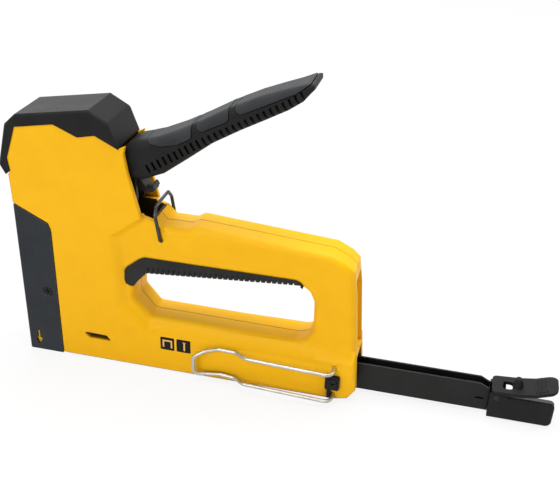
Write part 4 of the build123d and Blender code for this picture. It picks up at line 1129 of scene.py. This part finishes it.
@dataclass
class Magazine:
    """The pull-out rail with its end cap, latch and pusher, drawn in millimetres."""

    nick_x: Range = (271.9, 276.8)
    nick_z: Range = (10.0, 11.1)
    nick_corner: float = 0.25
    side: float = -4.0
    film: float = 0.05

    def dress(self) -> None:
        """Gives the magazine's nodes their finishes."""
        dress(Finish.RAIL, "magazine_rail")
        dress(Finish.BLACK, "end_cap", "latch_lever")
        dress(Finish.LEVER, "latch_pin")
        dress(Finish.STEEL, "guide_rod", "staple_pusher")
        soften("end_cap", "latch_lever")

    def marks(self) -> None:
        """Lays a near-black sheet of painted shade over the short stop nick on the rail's left side.
        """
        outline = rounded_box(self.nick_x, self.nick_z, self.nick_corner)
        nick = slab("stop_nick", outline, self.side, self.film)
        piece("stop_nick", nick, Finish.NICK_SHADE, "magazine")


@dataclass
class Springs:
    """The main spring over the plunger and the pusher's spring on its rod."""

    main: Spring = Spring(
        node="main_spring",
        body="body",
        fixed=(0.0095, 0.0, 0.147),
        toward=(0.0, 0.0, -1.0),
        length=0.0595,
        coil=0.0055,
        wire=0.0012,
        turns=9,
        joint="plunger_lift",
        keep=0.60,
    )
    pusher: Spring = Spring(
        node="pusher_spring",
        body="magazine",
        fixed=(0.266, 0.0, 0.011),
        toward=(-1.0, 0.0, 0.0),
        length=0.145,
        coil=0.002,
        wire=0.0004,
        turns=26,
        joint="pusher_slide",
        keep=0.262,
    )

    def build(self) -> None:
        """Winds both springs."""
        recipe = coil_recipe()
        for spring in (self.main, self.pusher):
            spring.build(recipe)


@dataclass(frozen=True)
class Lamp:
    """A square soft lamp: where it hangs, its side in metres and its power in watts."""

    name: str
    place: Point
    size: float
    power: float

    def hang(self, target: Point) -> None:
        """Hangs the lamp and turns it to a target.

        Args:
            target: The point that it shines on.
        """
        lamp = bpy.data.lights.new(self.name, "AREA")
        lamp.shape = "SQUARE"
        lamp.size = self.size
        lamp.energy = self.power
        held = bpy.data.objects.new(self.name, lamp)
        held.location = self.place
        aim = Vector(target) - Vector(self.place)
        held.rotation_euler = aim.to_track_quat("-Z", "Y").to_euler()
        show(held)


@dataclass
class Studio:
    """Pale floor, soft lamps and the camera.

    Attributes:
        floor_low: Height of the floor, just under the tool.
        floor_half: Half of the floor's side.
        floor_grey: How pale the floor is to the light.
        floor_glow: Share of plain white in the floor as it is seen.
        sky: Strength of the surroundings' light on the object.
        target: The point that the lamps shine on.
        lamps: The lamps.
        eye: The camera's place.
        right: Direction of its picture's right side.
        up: Direction of its picture's top.
        ahead: Direction in which it looks.
        lens: Its focal length in millimetres, for a sensor of the width given next.
        sensor: Width of its sensor in millimetres.
        near: Distance at which its view begins.
    """

    floor_low: float = -0.0003
    floor_half: float = 6.0
    floor_grey: float = 0.78
    floor_glow: float = 0.86
    sky: float = 0.30
    target: Point = (0.1, 0.0, 0.07)
    lamps: tuple[Lamp, ...] = (
        Lamp("key", (-0.25, -1.28, 0.85), 0.8, 9.5),
        Lamp("top", (0.1, 0.25, 1.5), 1.1, 26.0),
        Lamp("rear", (1.2, 0.7, 0.7), 0.7, 5.0),
        Lamp("sheen", (-0.55, 1.15, 0.62), 1.0, 2.6),
    )
    eye: Point = (0.24926, -0.42640, 0.32772)
    right: Point = (0.97105, 0.23710, 0.02900)
    up: Point = (-0.13968, 0.46516, 0.87414)
    ahead: Point = (-0.19377, 0.85288, -0.48481)
    lens: float = 56.57
    sensor: float = 36.0
    near: float = 0.01

    def floor(self) -> None:
        """Lays the pale floor, which is seen as white with the object's shadow."""
        bm = bmesh.new()
        bmesh.ops.create_grid(bm, x_segments=1, y_segments=1, size=self.floor_half)
        bmesh.ops.translate(bm, verts=bm.verts, vec=(0.0, 0.0, self.floor_low))
        mesh = kept_mesh("floor", bm)
        ground = bpy.data.objects.new("floor", mesh)
        show(ground)
        g = Graph.of_material("floor_paper")
        matt = g.out("ShaderNodeBsdfDiffuse", {}, {"Color": (self.floor_grey,) * 3})
        glow = g.out("ShaderNodeEmission", {}, {"Color": WHITE, "Strength": 1.0})
        seen = g.seen_rays() * self.floor_glow
        mixed = g.out("ShaderNodeMixShader", {}, {0: seen, 1: matt, 2: glow})
        g.node("ShaderNodeOutputMaterial", {}, {"Surface": mixed})
        mesh.materials.append(g.owner)

    def surround(self) -> None:
        """Sets the surroundings, which are seen as white and light the object more softly."""
        g = Graph(bpy.data.worlds.new("surroundings"))
        level = self.sky + g.seen_rays() * (1.0 - self.sky)
        backdrop = g.out("ShaderNodeBackground", {}, {"Color": WHITE, "Strength": level})
        g.node("ShaderNodeOutputWorld", {}, {"Surface": backdrop})
        bpy.context.scene.world = g.owner

    def camera(self) -> None:
        """Places the camera and makes it the scene's own."""
        seen = bpy.data.cameras.new("camera")
        seen.lens = self.lens
        seen.sensor_width = self.sensor
        seen.clip_start = self.near
        held = bpy.data.objects.new("camera", seen)
        columns = Matrix((self.right, self.up, [-v for v in self.ahead])).transposed()
        held.matrix_world = Matrix.Translation(self.eye) @ columns.to_4x4()
        show(held)
        bpy.context.scene.camera = held
        bpy.context.scene.view_settings.view_transform = "Standard"

    def set_up(self) -> None:
        """Sets up the floor, lamps, surroundings and camera."""
        self.floor()
        for lamp in self.lamps:
            lamp.hang(self.target)
        self.surround()
        self.camera()


def main() -> None:
    """Builds every sub-assembly's looks in order."""
    Studio().set_up()
    case = Case()
    case.dress()
    case.marks()
    hook = BeltHook()
    hook.dress()
    hook.build()
    Handle().dress()
    magazine = Magazine()
    magazine.dress()
    magazine.marks()
    Springs().build()
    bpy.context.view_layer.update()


if __name__ == "__main__":
    main()
